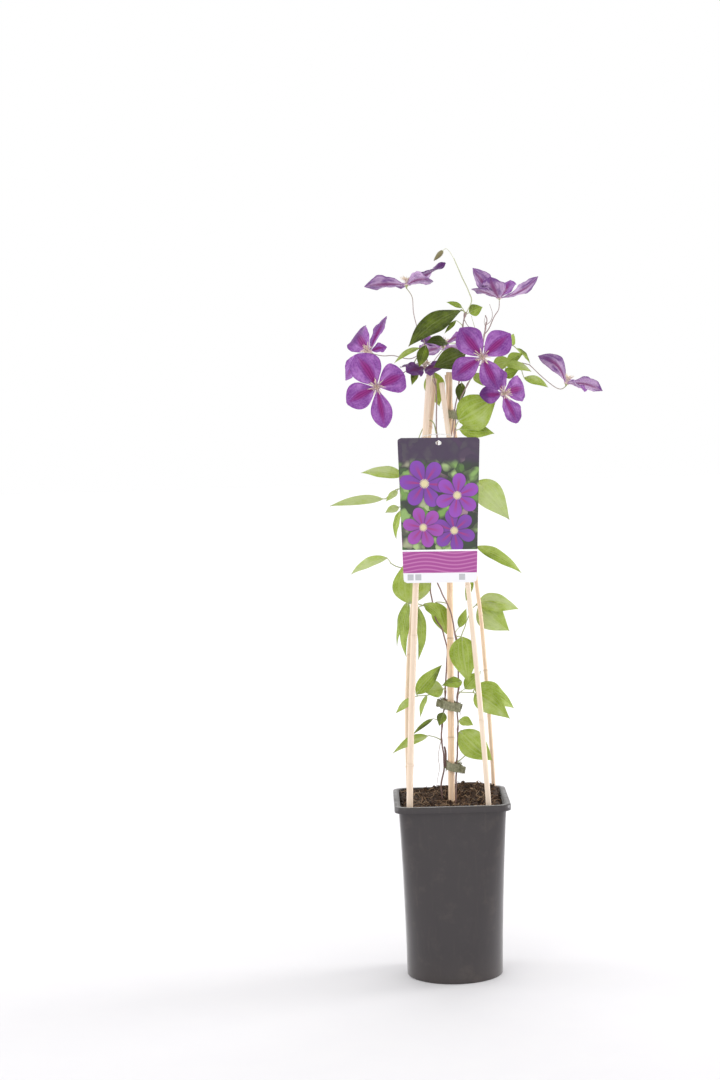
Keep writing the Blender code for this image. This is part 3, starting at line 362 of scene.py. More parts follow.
# How pointed a bloom's sepals are beside the others
TIP_POINTS = {"bloom_left_lower": 0.72, "bloom_front_low": 0.75, "bloom_left_upper": 0.85}
SEPAL_SKEW = 1.32
SEPAL_BROADEST = 0.5 ** (1 / SEPAL_SKEW)
STAMENS = 46
STYLES = 9
GOLDEN_TURN = 0.381966
CLODS = 620
FIBRES = 430
CHIPS = 46
BUD_HAIRS = 260

# A dead stub beside the middle cane, and fine bare twigs, by their height on the stem and their knots
OLD_STUB = ((-4.4, 1.6, 248), (-5.2, 0.8, 256), (-4.8, 1.4, 264), (-6.0, 0.6, 272))
STUB_RADII = (2.1, 1.0)
BARE_TWIGS = {
    "vine_right": (
        (768, ((62, 4, 775), (63, 3, 783), (60, 2, 793))),
        (756, ((55, 3, 764), (53, 1, 772), (55, 0, 780))),
        (748, ((47, 0, 757), (42, -3, 766), (38, -4, 780))),
    ),
    "vine_left": (
        (776, ((34, 3, 769), (40, 0, 762))),
        (281, ((-14, 2, 262), (-13, 0, 244), (-17, -3, 224))),
    ),
}
BARE_TWIG_RADII = (0.42, 0.22)

# Each cane's base colour, dark streaks, how blotched it is, how dark its joints are, its slot, and its
# joints as shares of its length
CANE_LOOKS = {
    "cane_centre": ((0.97, 0.76, 0.58), (0.76, 0.51, 0.31), 0.6, 0.6, "bamboo_tan",
                    (0.14, 0.34, 0.52, 0.69, 0.84, 0.93)),
    "cane_front_left": ((0.84, 0.70, 0.57), (0.76, 0.59, 0.44), 0.12, 0.2, "bamboo_pale",
                        (0.21, 0.47, 0.72)),
    "cane_front_right": ((0.86, 0.73, 0.60), (0.78, 0.62, 0.47), 0.12, 0.2, "bamboo_pale",
                         (0.30, 0.58, 0.86)),
    "cane_back_left": ((0.82, 0.66, 0.50), (0.70, 0.52, 0.35), 0.3, 0.4, "bamboo_tan",
                       (0.18, 0.42, 0.66, 0.90)),
    "cane_back_right": ((0.94, 0.74, 0.56), (0.78, 0.55, 0.37), 0.4, 0.5, "bamboo_tan",
                        (0.12, 0.38, 0.60, 0.83)),
}
CANE_AGED = (0.20, 0.13, 0.06)
CANE_SCAR_AND_HOLLOW_SHADE = (0.36, 0.24, 0.13)

# Where each kind of piece starts its random draws
PEAT_SEED = 11
FRAY_SEED = 60
BUD_SEED = 77
LEAF_SEED = 500
SEPAL_SEED = 900
STAMEN_SEED = 1300

# Colours
WHITE = (1.0, 1.0, 1.0, 1.0)
POT_COLOUR = (0.040, 0.034, 0.036)
POT_DUST = (0.085, 0.070, 0.062)
POT_DARKENED = (0.016, 0.010, 0.007)
PEAT_TONES = ((0.34, (0.008, 0.004, 0.002)), (0.54, (0.040, 0.019, 0.009)), (0.74, (0.135, 0.072, 0.036)))
PEAT_SPECK = (0.22, 0.14, 0.08)
FIBRE_TONES = ((0.15, (0.045, 0.020, 0.009)), (0.6, (0.16, 0.085, 0.040)), (1.0, (0.48, 0.35, 0.22)))
TIE_TONES = ((0.30, (0.11, 0.11, 0.055)), (0.55, (0.24, 0.235, 0.14)), (0.8, (0.36, 0.35, 0.23)))
LABEL_BACK = ((0.78, 0.78, 0.80), (0.88, 0.88, 0.90))
LOOP_WHITE = ((0.70, 0.70, 0.68), (0.86, 0.86, 0.84))
LEAF_TONES = (
    (0.0, (0.045, 0.062, 0.006)), (0.25, (0.14, 0.19, 0.015)), (0.5, (0.31, 0.42, 0.035)),
    (0.75, (0.47, 0.58, 0.12)), (1.0, (0.60, 0.67, 0.34)),
)
LEAF_VEIN = (0.72, 0.78, 0.42)
LEAF_UNDER = (0.46, 0.54, 0.30)
LEAF_DRY = (0.30, 0.22, 0.06)
LEAF_GLOW = (0.55, 0.72, 0.10)
SEPAL_VIOLET = (0.385, 0.112, 0.48)
SEPAL_DEEP = (0.22, 0.050, 0.33)
SEPAL_LILAC = (0.56, 0.27, 0.67)
SEPAL_MAGENTA = (0.38, 0.030, 0.27)
SEPAL_LINE = (0.14, 0.010, 0.12)
SEPAL_THROAT = (0.55, 0.38, 0.55)
SEPAL_UNDER = (0.64, 0.45, 0.69)
SEPAL_UNDER_DEEP = (0.24, 0.10, 0.33)
SEPAL_UNDER_RIB = (0.30, 0.075, 0.25)
SEPAL_FADED_AND_SHADED = (0.055, 0.018, 0.075)
SEPAL_DARK_TIP_AND_SHADE = (0.10, 0.022, 0.15)
STEM_TONES = (
    (0.0, (0.11, 0.055, 0.045)), (0.3, (0.25, 0.15, 0.13)), (0.5, (0.36, 0.26, 0.26)),
    (0.75, (0.33, 0.38, 0.14)), (1.0, (0.66, 0.68, 0.48)),
)
FILAMENT_COLOUR = (0.74, 0.62, 0.58)
ANTHER_COLOUR = (0.80, 0.70, 0.52)
ANTHER_SHADE = (0.62, 0.48, 0.42)
BUD_OLIVE = (0.19, 0.165, 0.06)
BUD_BROWN = (0.12, 0.075, 0.035)
BUD_DOWN = (0.30, 0.27, 0.15)
STALK_TONE = 0.85
FLOOR_COLOUR = (0.74, 0.73, 0.74)
FLOOR_SHADE = (0.72, 0.71, 0.73)
FLOOR_FADE = (0.7, 2.6)
FLOOR_GLOW = 0.36
FLOOR_REACH = 12.0

# How green each leaf is, from dark (0) to pale (1), partly its own green and partly painted shade on shaded
# leaves and painted light on backlit ones; how dark each sepal's tip is, partly its own violet and partly
# painted shade;
# and how green each twig is, from brown (0) to green (1)
LEAF_TONE_LIGHT_AND_SHADE = {
    "vine_right": (0.68, 0.66, 0.66, 0.70, 0.66, 0.40, 0.64, 0.62, 0.84, 0.82, 0.42,
                   0.96, 0.64, 0.54, 0.62, 0.55, 0.62, 0.68, 0.58, 0.74, 0.60, 0.70),
    "vine_left": (0.66, 0.36, 0.36, 0.82, 0.46, 0.70, 0.60, 0.80, 0.52, 0.50, 0.50, 0.60,
                  0.96, 0.90, 0.62, 0.90, 1.0, 0.88, -0.02, -0.05, 0.40, 0.07, 0.50, 0.54, 0.08),
    "vine_back": (0.48, 0.66, 0.22, 0.70, 0.28, 0.58, 0.50, 0.55, 0.50, 0.66, 0.50, 0.45),
}
TIP_DARKNESS_AND_SHADE = {
    ("bloom_top_left", 0): 0.15, ("bloom_top_left", 1): 0.85, ("bloom_top_right", 3): 0.30,
    ("bloom_left_upper", 0): 0.55, ("bloom_left_upper", 1): 0.45, ("bloom_front", 0): 0.30,
    ("bloom_front", 2): 0.30, ("bloom_front", 3): 0.35, ("bloom_front_low", 1): 0.30,
    ("bloom_front_low", 2): 0.75, ("bloom_right", 0): 0.40, ("bloom_behind", 0): 0.75,
}
TWIG_TONES = {
    "vine_right": (0.75, 0.75, 0.75, 0.55, 0.6, 0.4, 0.4),
    "vine_left": (0.75, 0.75, 0.75, 0.75, 0.75, 0.75, 0.9),
    "vine_back": (0.75, 0.6, 0.7),
}

# The card's made-up picture, in millimetres from its middle
CARD_BLOSSOMS = (
    ((17.0, -24.0), 25.0, 6, 20.0, (0.16, 0.035, 0.30)),
    ((-17.0, 31.0), 29.0, 6, 5.0, (0.17, 0.035, 0.32)),
    ((21.0, 17.0), 26.0, 6, 38.0, (0.23, 0.045, 0.36)),
    ((-19.0, -20.0), 24.0, 6, 12.0, (0.27, 0.05, 0.33)),
)
BLOSSOM_BAR = (0.36, 0.02, 0.17)
BLOSSOM_GAP = (0.05, 0.012, 0.09)
BLOSSOM_SHADOW = (0.03, 0.02, 0.05)
BLOSSOM_EYE = (0.72, 0.62, 0.36)
CARD_FOLIAGE = (
    (0.0, (0.02, 0.035, 0.018)), (0.35, (0.06, 0.13, 0.03)), (0.6, (0.18, 0.34, 0.07)),
    (0.8, (0.40, 0.55, 0.22)), (1.0, (0.30, 0.09, 0.26)),
)
CARD_GAPS = (0.03, 0.03, 0.03)
CARD_DUSK = (0.050, 0.026, 0.068)
CARD_BLUR = 0.1
CARD_BAND_TOP = -48.0
CARD_BAND = ((0.36, 0.055, 0.28), (0.52, 0.16, 0.42))
CARD_RULE = 2.0
CARD_WHITE = (0.92, 0.92, 0.94)
CARD_STRIP_TOP = -73.0
CARD_STRIP = (0.86, 0.86, 0.90)
CARD_BLOCKS = (-38.0, -29.0, 22.0)
CARD_BLOCK_DROP = 1.5
CARD_BLOCK_SIZE = 7.0
CARD_BLOCK = (0.50, 0.51, 0.54)

# Studio
CAMERA_PLACE = (-0.0994, -2.70, 0.716)
CAMERA_PITCH = math.radians(4.14)
CAMERA_ROLL = math.radians(-1.6)
CAMERA_LENS = 76.53
WORLD_STRENGTH = 1.0
LIGHTS = (
    ("key", (-1.2, -2.3, 1.6), (1.2, 1.6), 10.0),
    ("side_left", (-1.6, 0.35, 0.55), (0.7, 1.7), 9.0),
    ("side_right", (1.6, 0.45, 0.55), (0.7, 1.7), 23.0),
    ("back", (0.2, 1.8, 1.6), (2.2, 1.2), 14.0),
)
LIGHT_AIM = (0, 0, 0.45)


# Mesh building
class Builder:
    """Points and faces in millimetres, with two marks a point that the materials read."""

    def __init__(self):
        self.points, self.place, self.look, self.faces = [], [], [], []
        self.back_faces = set()

    def add(self, points, faces, place, look):
        """Points with their place (along, across, tone) and look (side, seed, 0) marks."""
        first = len(self.points)
        self.points += [tuple(p) for p in points]
        self.place += place
        self.look += look
        self.faces += [tuple(first + i for i in face) for face in faces]

    def build(self, name, materials, slot, replaces=(), sharp=55.0):
        """The finished piece: smooth, riding on the root body, in place of its CAD nodes."""
        mesh = bpy.data.meshes.new(name)
        mesh.from_pydata([tuple(c * MM for c in p) for p in self.points], [], self.faces)
        for title, values in (("place", self.place), ("look", self.look)):
            layer = mesh.attributes.new(title, "FLOAT_VECTOR", "POINT")
            layer.data.foreach_set("vector", np.array(values, np.float32).ravel())
        for material in materials:
            mesh.materials.append(material)
        for i in self.back_faces:
            mesh.polygons[i].material_index = 1
        mesh.update()
        mesh.shade_smooth()
        mesh.set_sharp_from_angle(angle=math.radians(sharp))
        piece = put(name, mesh)
        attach(piece, "root")
        if replaces:
            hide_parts(*replaces)
        return piece


def put(name, data):
    """A new object in the scene."""
    thing = bpy.data.objects.new(name, data)
    bpy.context.scene.collection.objects.link(thing)
    return thing


def through(points, step, closed=False):
    """Points about one step apart on a smooth curve through the given ones."""
    knots = [Vector(p) for p in points]
    count = len(knots)
    result = []
    for i in range(count if closed else count - 1):
        start, end = knots[i], knots[(i + 1) % count]
        before = knots[i - 1] if i or closed else start * 2 - end
        after = knots[(i + 2) % count] if i + 2 < count or closed else end * 2 - start
        pieces = max(1, round((end - start).length / step))
        for t in (k / pieces for k in range(pieces)):
            result.append(0.5 * (2 * start + (end - before) * t
                                 + (2 * before - 5 * start + 4 * end - after) * t * t
                                 + (3 * start - before - 3 * end + after) * t ** 3))
    return result if closed else result + [knots[-1]]


def measure(path):
    """The length along a path up to each of its points."""
    lengths = [0.0]
    for a, b in zip(path, path[1:]):
        lengths.append(lengths[-1] + (b - a).length)
    return lengths


def frames(path, closed=False):
    """Two directions square to a path at each of its points, that turn as little as they can."""
    last = len(path) - 1
    across = None
    result = []
    for i in range(last + 1):
        if closed:
            forward = (path[(i + 1) % len(path)] - path[i - 1]).normalized()
        else:
            forward = (path[min(i + 1, last)] - path[max(i - 1, 0)]).normalized()
        if across is None:
            across = forward.orthogonal()
        across = (across - forward * across.dot(forward)).normalized()
        result.append((across, forward.cross(across)))
    return result


def ring_faces(rings, sides, closed=False):
    """The faces between rings of points, with a cap at both ends unless the last ring meets the first."""
    faces = []
    for i in range(rings if closed else rings - 1):
        low, high = i * sides, (i + 1) % rings * sides
        for k in range(sides):
            nxt = (k + 1) % sides
            faces.append((low + k, low + nxt, high + nxt, high + k))
    if not closed:
        faces.append(tuple(reversed(range(sides))))
        faces.append(tuple(range((rings - 1) * sides, rings * sides)))
    return faces


def wander(x, y, z):
    """A smooth random number between -1 and 1 for a place."""
    return noise.noise(Vector((x, y, z)))


def hump(distance, width):
    """A bell curve: 1 at no distance, and almost 0 from twice its width."""
    return math.exp(-(distance / width) ** 2)


def circle(across, side, angle):
    """The direction at an angle round the circle that two directions span."""
    return across * math.cos(angle) + side * math.sin(angle)


def tube(builder, path, radius, sides, tone=0.0, seed=0.0, closed=False, flat=1.0):
    """A tube along a path. radius is a number or a function of (share of length, length, angle)."""
    lengths = measure(path)
    points, place, look = [], [], []
    for centre, at, (across, side) in zip(path, lengths, frames(path, closed)):
        share = at / lengths[-1]
        for k in range(sides):
            angle = math.tau * k / sides
            r = radius(share, at, angle) if callable(radius) else radius
            points.append(centre + circle(across, side * flat, angle) * r)
            place.append((at, k / sides, tone(share) if callable(tone) else tone))
            look.append((share, seed, 0.0))
    builder.add(points, ring_faces(len(path), sides, closed), place, look)


def blade(builder, base, tip, width, face, arch, twist, fold, thickness, rows, columns, outline, relief,
          sway=0.0, tone=0.0, seed=0.0):
    """A thin closed blade. relief(t, s) lifts its middle surface, in shares of the half width."""
    base = Vector(base)
    axis = Vector(tip) - base
    length = axis.length
    along = axis.normalized()
    up = Vector(face)
    up = (up - along * up.dot(along)).normalized()
    across = along.cross(up)
    points, place = [], []
    for r in range(rows + 1):
        t = r / rows
        t = t - ROW_CROWDING * math.sin(math.tau * t) / math.tau
        middle = base + axis * t + up * (arch * length * 4 * t * (1 - t))
        middle += across * (sway * width * math.sin(math.pi * t))
        slope = (along + up * (arch * 4 * (1 - 2 * t))).normalized()
        turned = Quaternion(slope, math.radians(twist) * t * t) @ across
        normal = turned.cross(slope)
        half = 0.5 * width * outline(t)
        upper, lower = [], []
        shares = [2 * c / (columns - 1) - 1 for c in range(columns)]
        for s in shares:
            lift = fold * abs(s) ** 1.3 + relief(t, s)
            edge = EDGE_THICKNESS + (1 - EDGE_THICKNESS) * math.sqrt(max(0.0, 1 - s * s))
            point = middle + turned * (half * s) + normal * (lift * half)
            upper.append(point + normal * (edge * thickness / 2))
            lower.append(point - normal * (edge * thickness / 2))
        points += upper + lower[::-1]
        place += [(t, s, tone) for s in shares + shares[::-1]]
    look = ([(1.0, seed, 0.0)] * columns + [(0.0, seed, 0.0)] * columns) * (rows + 1)
    builder.add(points, ring_faces(rows + 1, 2 * columns), place, look)


# Material building
class Wire:
    """One output in a material. Arithmetic on it adds the nodes that work it out."""

    def __init__(self, paint, socket):
        self.paint, self.socket = paint, socket

    def output(self, index):
        return Wire(self.paint, self.socket.node.outputs[index])

    def parts(self):
        """The three numbers of a vector."""
        split = self.paint.node("SeparateXYZ", {0: self})
        return [split.output(i) for i in range(3)]

    def step(self, low, high, to_low=0.0, to_high=1.0):
        """A smooth step from to_low at low to to_high at high."""
        return self.paint.node("MapRange", {0: self, 1: low, 2: high, 3: to_low, 4: to_high},
                               interpolation_type="SMOOTHSTEP")

    def above(self, edge):
        """1 past an edge of the card's print, that is a little blurred."""
        return self.step(edge - CARD_BLUR, edge + CARD_BLUR)

    def below(self, edge):
        return self.step(edge + CARD_BLUR, edge - CARD_BLUR)

    def math(self, operation, other=0.0):
        return self.paint.node("Math", {0: self, 1: other}, operation=operation)

    def sin(self):
        return self.math("SINE")

    def cos(self):
        return self.math("COSINE")

    def max(self, other):
        return self.math("MAXIMUM", other)

    def __abs__(self):
        return self.math("ABSOLUTE")

    def __add__(self, other):
        return self.math("ADD", other)

    def __sub__(self, other):
        return self.math("SUBTRACT", other)

    def __mul__(self, other):
        return self.math("MULTIPLY", other)

    def __truediv__(self, other):
        return self.math("DIVIDE", other)


class Paint:
    """A node material. Each call adds one node and gives back its output."""

    def __init__(self, name, roughness=0.5, values=None):
        self.material = bpy.data.materials.new(name)
        self.material.use_nodes = True
        self.tree = self.material.node_tree
        self.shader = self.tree.nodes["Principled BSDF"]
        self.shader.inputs["Roughness"].default_value = roughness
        for socket, value in (values or {}).items():
            self.shader.inputs[socket].default_value = value

    def link(self, wire, socket):
        self.tree.links.new(wire.socket, socket)

    def node(self, kind, inputs=(), output=0, **settings):
        made = self.tree.nodes.new("ShaderNode" + kind)
        for key, value in settings.items():
            setattr(made, key, value)
        for socket, value in dict(inputs).items():
            if isinstance(value, Wire):
                self.link(value, made.inputs[socket])
            else:
                made.inputs[socket].default_value = value
        return Wire(self, made.outputs[output])

    def mix(self, share, a, b):
        a, b = (value if isinstance(value, Wire) else (*value, 1.0) for value in (a, b))
        return self.node("Mix", {0: share, 6: a, 7: b}, 2, data_type="RGBA")

    def ramp(self, value, *stops):
        output = self.node("ValToRGB", {0: value})
        elements = output.socket.node.color_ramp.elements
        for element, (position, colour) in zip(elements, (stops[0], stops[-1])):
            element.position, element.color = position, (*colour, 1.0)
        for position, colour in stops[1:-1]:
            elements.new(position).color = (*colour, 1.0)
        return output

    def mark(self, name):
        """The three numbers of one of the mesh's marks."""
        return self.node("Attribute", output=1, attribute_name=name).parts()

    def join(self, x, y, z=0.0):
        return self.node("CombineXYZ", {0: x, 1: y, 2: z})

    def vector(self, operation, a, b):
        return self.node("VectorMath", {0: a, 1: b}, operation=operation)

    def scaled(self, vector, factor):
        return self.node("VectorMath", {0: vector, 3: factor}, operation="SCALE")

    def spot(self):
        """Where the point is, in millimetres."""
        return self.scaled(self.node("TexCoord", output=3), 1 / MM)

    def skin(self, along, across, round_scale, long_scale):
        """A place on a tube's skin, for streaks that run along it."""
        turns = across * math.tau
        return self.join(turns.cos() * round_scale, turns.sin() * round_scale, along * long_scale)

    def noise(self, vector, scale, detail=3.0, roughness=0.5, output=0):
        return self.node("TexNoise", {0: vector, 2: scale, 3: detail, 4: roughness}, output)

    def cells(self, vector, scale, feature="F1"):
        return self.node("TexVoronoi", {0: vector, 2: scale}, feature=feature)

    def finish(self, colour, rough=None, bump=None, strength=0.3, distance=0.3, glow=None, share=0.0):
        """Join up the shader. distance is the bump's depth in millimetres. glow is the colour of the share of
        the light that comes through from the other side, as in a thin leaf or sepal."""
        inputs = self.shader.inputs
        self.link(colour, inputs["Base Color"])
        if rough:
            self.link(rough, inputs["Roughness"])
        if bump:
            normal = self.node("Bump", {"Strength": strength, "Distance": distance * MM, "Height": bump})
            self.link(normal, inputs["Normal"])
        if glow:
            through_light = self.node("BsdfTranslucent", {"Color": glow})
            skin = Wire(self, self.shader.outputs[0])
            mixed = self.node("MixShader", {0: share, 1: skin, 2: through_light})
            self.link(mixed, self.tree.nodes["Material Output"].inputs[0])
        return self.material


# Materials
def pot_material():
    """Black plastic: dusty on its outside and foot, darker on its inner wall, and soil-stained on the top of
    its lip.
    """
    paint = Paint("pot_plastic", 0.3, {"Sheen Weight": 0.42, "Sheen Roughness": 0.3})
    spot = paint.spot()
    normal = paint.node("TexCoord", output=1)
    outward = paint.vector("MULTIPLY", spot, (1.0, 1.0, 0.0))
    facing = paint.vector("DOT_PRODUCT", outward, normal).output(1)
    height = spot.parts()[2]
    dust = paint.noise(spot, 0.05, 5.0, 0.65)
    streak = paint.noise(paint.vector("MULTIPLY", spot, (0.5, 0.5, 0.02)), 0.6, 4.0)
    dusty = dust.step(0.50, 0.75) * 0.35 + height.step(40.0, 0.0) * 0.25
    colour = paint.mix(dusty, POT_COLOUR, POT_DUST)
    colour = paint.mix(streak.step(0.55, 0.8) * 0.25, colour, POT_DUST)
    lip = normal.parts()[2].step(0.3, 0.85) * height.step(190.0, 200.0)
    # Darker on every face that turns inward, which is the inner wall, and soil-stained on the lip's top
    darkened = (facing.step(8.0, -8.0) * 0.9).max(lip * dust.step(0.35, 0.6, 0.3, 0.85))
    colour = paint.mix(darkened, colour, POT_DARKENED)
    rough = dust.step(0.3, 0.8, 0.28, 0.42) + darkened * 0.45
    return paint.finish(colour, rough, paint.noise(spot, 0.5, 2.0, 0.4), 0.10, 0.04)


def soil_material(name="peat_crumbs", light=0.0):
    paint = Paint(name, 0.95)
    spot = paint.spot()
    clods = paint.noise(spot, 0.35, 6.0, 0.65)
    specks = paint.cells(spot, 1.1).step(0.28, 0.12, 0.0, 0.35 + light)
    colour = paint.mix(specks, paint.ramp(clods, *PEAT_TONES), PEAT_SPECK)
    return paint.finish(colour, None, clods, 0.9, 1.2)


def fibre_material():
    paint = Paint("peat_fibre", 0.9)
    along, across, tone = paint.mark("place")
    streaks = paint.noise(paint.join(along * 0.6, across * 9.0, tone), 1.0)
    colour = paint.ramp(tone * 0.7 + streaks * 0.3, *FIBRE_TONES)
    return paint.finish(colour, None, streaks, 0.5, 0.2)


def cane_material(name, base, dark, blotch, scars):
    """Bamboo: long fibres, a dark scar at each joint, painted shade inside the hollow upper end, and darker
    skin on the old end.
    """
    paint = Paint(name, 0.42)
    along, across, joint = paint.mark("place")
    fibres = paint.noise(paint.skin(along, across, 6.0, 0.035), 1.0, 5.0, 0.6)
    patches = paint.noise(paint.skin(along, across, 1.0, 0.02), 1.1, 3.0)
    colour = paint.mix(fibres.step(0.35, 0.7), dark, base)
    colour = paint.mix(patches.step(0.48, 0.72) * blotch, colour, dark)
    aged = paint.mark("look")[0].step(0.80, 0.97) * blotch
    colour = paint.mix(aged * patches.step(0.35, 0.6), colour, CANE_AGED)
    # The third place mark is the joint's scar, and 0.5 inside the hollow upper end, which is painted shade
    colour = paint.mix(joint * scars, colour, CANE_SCAR_AND_HOLLOW_SHADE)
    return paint.finish(colour, fibres.step(0.3, 0.7, 0.55, 0.36), fibres, 0.35, 0.25)


def leaf_material():
    """Leaves: long veins from root to tip, a fine net between them, and a paler underside."""
    paint = Paint("leaf_green", 0.50, {"Specular IOR Level": 0.22})
    along, across, tone = paint.mark("place")
    side, seed, _ = paint.mark("look")
    spot = paint.spot()
    off = abs(across)
    veins = off.step(0.12, 0.03)
    # Painted shade in the sunken valleys beside the veins
    vein_valley_shade = off.step(0.30, 0.10)
    for place, strength in zip(LEAF_VEIN_PLACES, (0.75, 0.55)):
        away = abs(off - place)
        veins = veins.max(away.step(0.085, 0.02, 0.0, strength))
        vein_valley_shade = vein_valley_shade.max(away.step(0.17, 0.07, 0.0, strength))
    veins = veins.max(paint.cells(spot, 0.30, "DISTANCE_TO_EDGE").step(0.14, 0.02, 0.0, 0.5))
    # Lighter and darker patches, fine and broad: partly the leaf's own mottling, partly painted light and
    # shade for the shading of its relief
    mottle_and_shade = paint.noise(paint.vector("ADD", spot, paint.join(seed, seed, seed)), 0.09, 4.0, 0.6)
    broad = paint.noise(paint.vector("ADD", spot, paint.join(seed, seed)), 0.035, 1.0)
    # Painted light on one half of the leaf and painted shade on the other, for light falling on its fold
    half = across.step(-0.25, 0.25, -1.0, 1.0) * seed.sin()
    shade = tone + (mottle_and_shade - 0.43) * 0.75 + (broad - 0.5) * 0.65 + half * 0.09
    shade = shade + off.step(0.2, 1.0, 0.04, -0.06) - vein_valley_shade * 0.10
    colour = paint.ramp(shade, *LEAF_TONES)
    pale = paint.mix(0.5, colour, LEAF_VEIN)
    colour = paint.mix(veins * tone.step(0.05, 0.6, 0.25, 0.8), colour, pale)
    colour = paint.mix(side, paint.mix(0.45, colour, LEAF_UNDER), colour)
    tips = along.step(0.93, 1.0) * mottle_and_shade.step(0.4, 0.6)
    colour = paint.mix(tips * 0.6, colour, LEAF_DRY)
    glow = paint.mix(0.35, colour, LEAF_GLOW)
    return paint.finish(colour, None, mottle_and_shade * 0.5 - veins, 0.6, 0.5, glow, 0.38)


def sepal_material(name="sepal_violet", faded_and_shaded=0.0):
    """Sepals: violet, with a magenta bar of darker lines, and a lilac underside."""
    paint = Paint(name, 0.48, {"Sheen Weight": 0.2, "Sheen Roughness": 0.4, "Specular IOR Level": 0.22})
    along, across, tone = paint.mark("place")
    side, seed, _ = paint.mark("look")
    off = abs(across)
    streaks = paint.noise(paint.join(along * 2.2, across * 9.0, seed), 1.0, 3.0, 0.55)
    cloud = paint.noise(paint.join(along * 3.0, across * 1.5, seed), 1.0, 3.0)
    crinkle_relief_and_shade = paint.noise(paint.spot(), 0.45, 3.0, 0.6)

    colour = paint.mix(streaks.step(0.35, 0.70), SEPAL_DEEP, SEPAL_VIOLET)
    flank = off.step(0.22, 0.50) * off.step(1.0, 0.75, 0.45, 1.0)
    flank = flank * along.step(0.95, 0.45, 0.12, 1.0) * cloud.step(0.36, 0.64, 0.08, 0.72)
    colour = paint.mix(flank, colour, SEPAL_LILAC)
    # Painted highlight on the crinkles' raised parts and painted shade in their hollows
    colour = paint.mix(crinkle_relief_and_shade.step(0.42, 0.66, 0.0, 0.30), colour, SEPAL_LILAC)
    colour = paint.mix(crinkle_relief_and_shade.step(0.52, 0.30, 0.0, 0.38), colour, SEPAL_DEEP)
    inside = off / along.step(1.02, 0.30, 0.10, 0.30)
    bar = inside.step(1.55, 0.25) * along.step(1.0, 0.55, 0.15, 0.92)
    colour = paint.mix(bar, colour, SEPAL_MAGENTA)
    lines = off.step(0.075, 0.02)
    for place, strength in zip(SEPAL_LINE_PLACES, (0.85, 0.45, 0.22)):
        lines = lines.max(abs(off - place).step(0.07, 0.015, 0.0, strength))
    lines = lines * along.step(0.98, 0.5) * streaks.step(0.25, 0.6, 0.45, 1.0)
    colour = paint.mix(lines * 0.62, colour, SEPAL_LINE)
    colour = paint.mix(along.step(0.17, 0.05, 0.0, 0.6), colour, SEPAL_THROAT)

    light = streaks * 0.25 + cloud * 0.75 - along.step(0.62, 1.0, 0.0, 0.16) - off.step(0.82, 1.0, 0.0, 0.10)
    under = paint.mix(light.step(0.34, 0.56), SEPAL_UNDER_DEEP, SEPAL_UNDER)
    rib = off.step(0.34, 0.05) * along.step(1.0, 0.5, 0.35, 0.95)
    under = paint.mix(rib, under, SEPAL_UNDER_RIB)
    colour = paint.mix(side, under, colour)
    # Darker tips on the listed sepals: partly their own deep violet, partly painted shade where they twist
    # away
    colour = paint.mix(tone * along.step(0.48, 0.80, 0.12, 1.0), colour, SEPAL_DARK_TIP_AND_SHADE)
    # The faded bloom is darkened towards near-black violet: partly its faded colour, partly painted shade on
    # its sepals
    if faded_and_shaded:
        colour = paint.mix(faded_and_shaded, colour, SEPAL_FADED_AND_SHADED)
    height = (streaks * 0.3 + crinkle_relief_and_shade - lines) * (side * 0.75 + 0.25)
    return paint.finish(colour, None, height, 0.30, 0.25, colour, 0.25)


def stem_material():
    """Stems: reddish brown bark that peels in strips, greener towards tone 1."""
    paint = Paint("stem_bark", 0.62)
    along, across, tone = paint.mark("place")
    strips = paint.noise(paint.skin(along, across, 3.0, 0.12), 1.0, 4.0, 0.6)
    return paint.finish(paint.ramp(tone + (strips - 0.5) * 0.35, *STEM_TONES), None, strips, 0.5, 0.2)


def stamen_material():
    paint = Paint("stamen_cream", 0.55)
    grain = paint.noise(paint.spot(), 2.5, 2.0)
    colour = paint.mix(paint.mark("look")[0].step(0.45, 0.75), FILAMENT_COLOUR, ANTHER_COLOUR)
    colour = paint.mix(grain.step(0.4, 0.7) * 0.5, colour, ANTHER_SHADE)
    colour = paint.mix(paint.mark("place")[2] * 0.55, colour, SEPAL_MAGENTA)
    return paint.finish(colour, None, grain, 0.4, 0.15)


def bud_material():
    paint = Paint("bud_olive", 0.7, {"Sheen Weight": 0.5})
    turns = paint.mark("place")[1] * math.tau
    down = paint.noise(paint.spot(), 1.4, 4.0, 0.6)
    colour = paint.mix(abs((turns * 2.0).sin()).step(0.3, 0.0), BUD_OLIVE, BUD_BROWN)
    colour = paint.mix(down.step(0.4, 0.7) * 0.5, colour, BUD_DOWN)
    return paint.finish(colour, None, down, 0.5, 0.2)


def tie_material():
    paint = Paint("tie_plastic", 0.55)
    marks = paint.noise(paint.spot(), 0.45, 5.0, 0.65)
    return paint.finish(paint.ramp(marks, *TIE_TONES), None, marks, 0.6, 0.5)


def plain_material(name, roughness, scale, detail, low, tones, strength):
    """Plain pale plastic with faint marks, for the label's back and its loop."""
    paint = Paint(name, roughness)
    marks = paint.noise(paint.spot(), scale, detail)
    return paint.finish(paint.mix(marks.step(low, 0.7), *tones), None, marks, strength, 0.1)


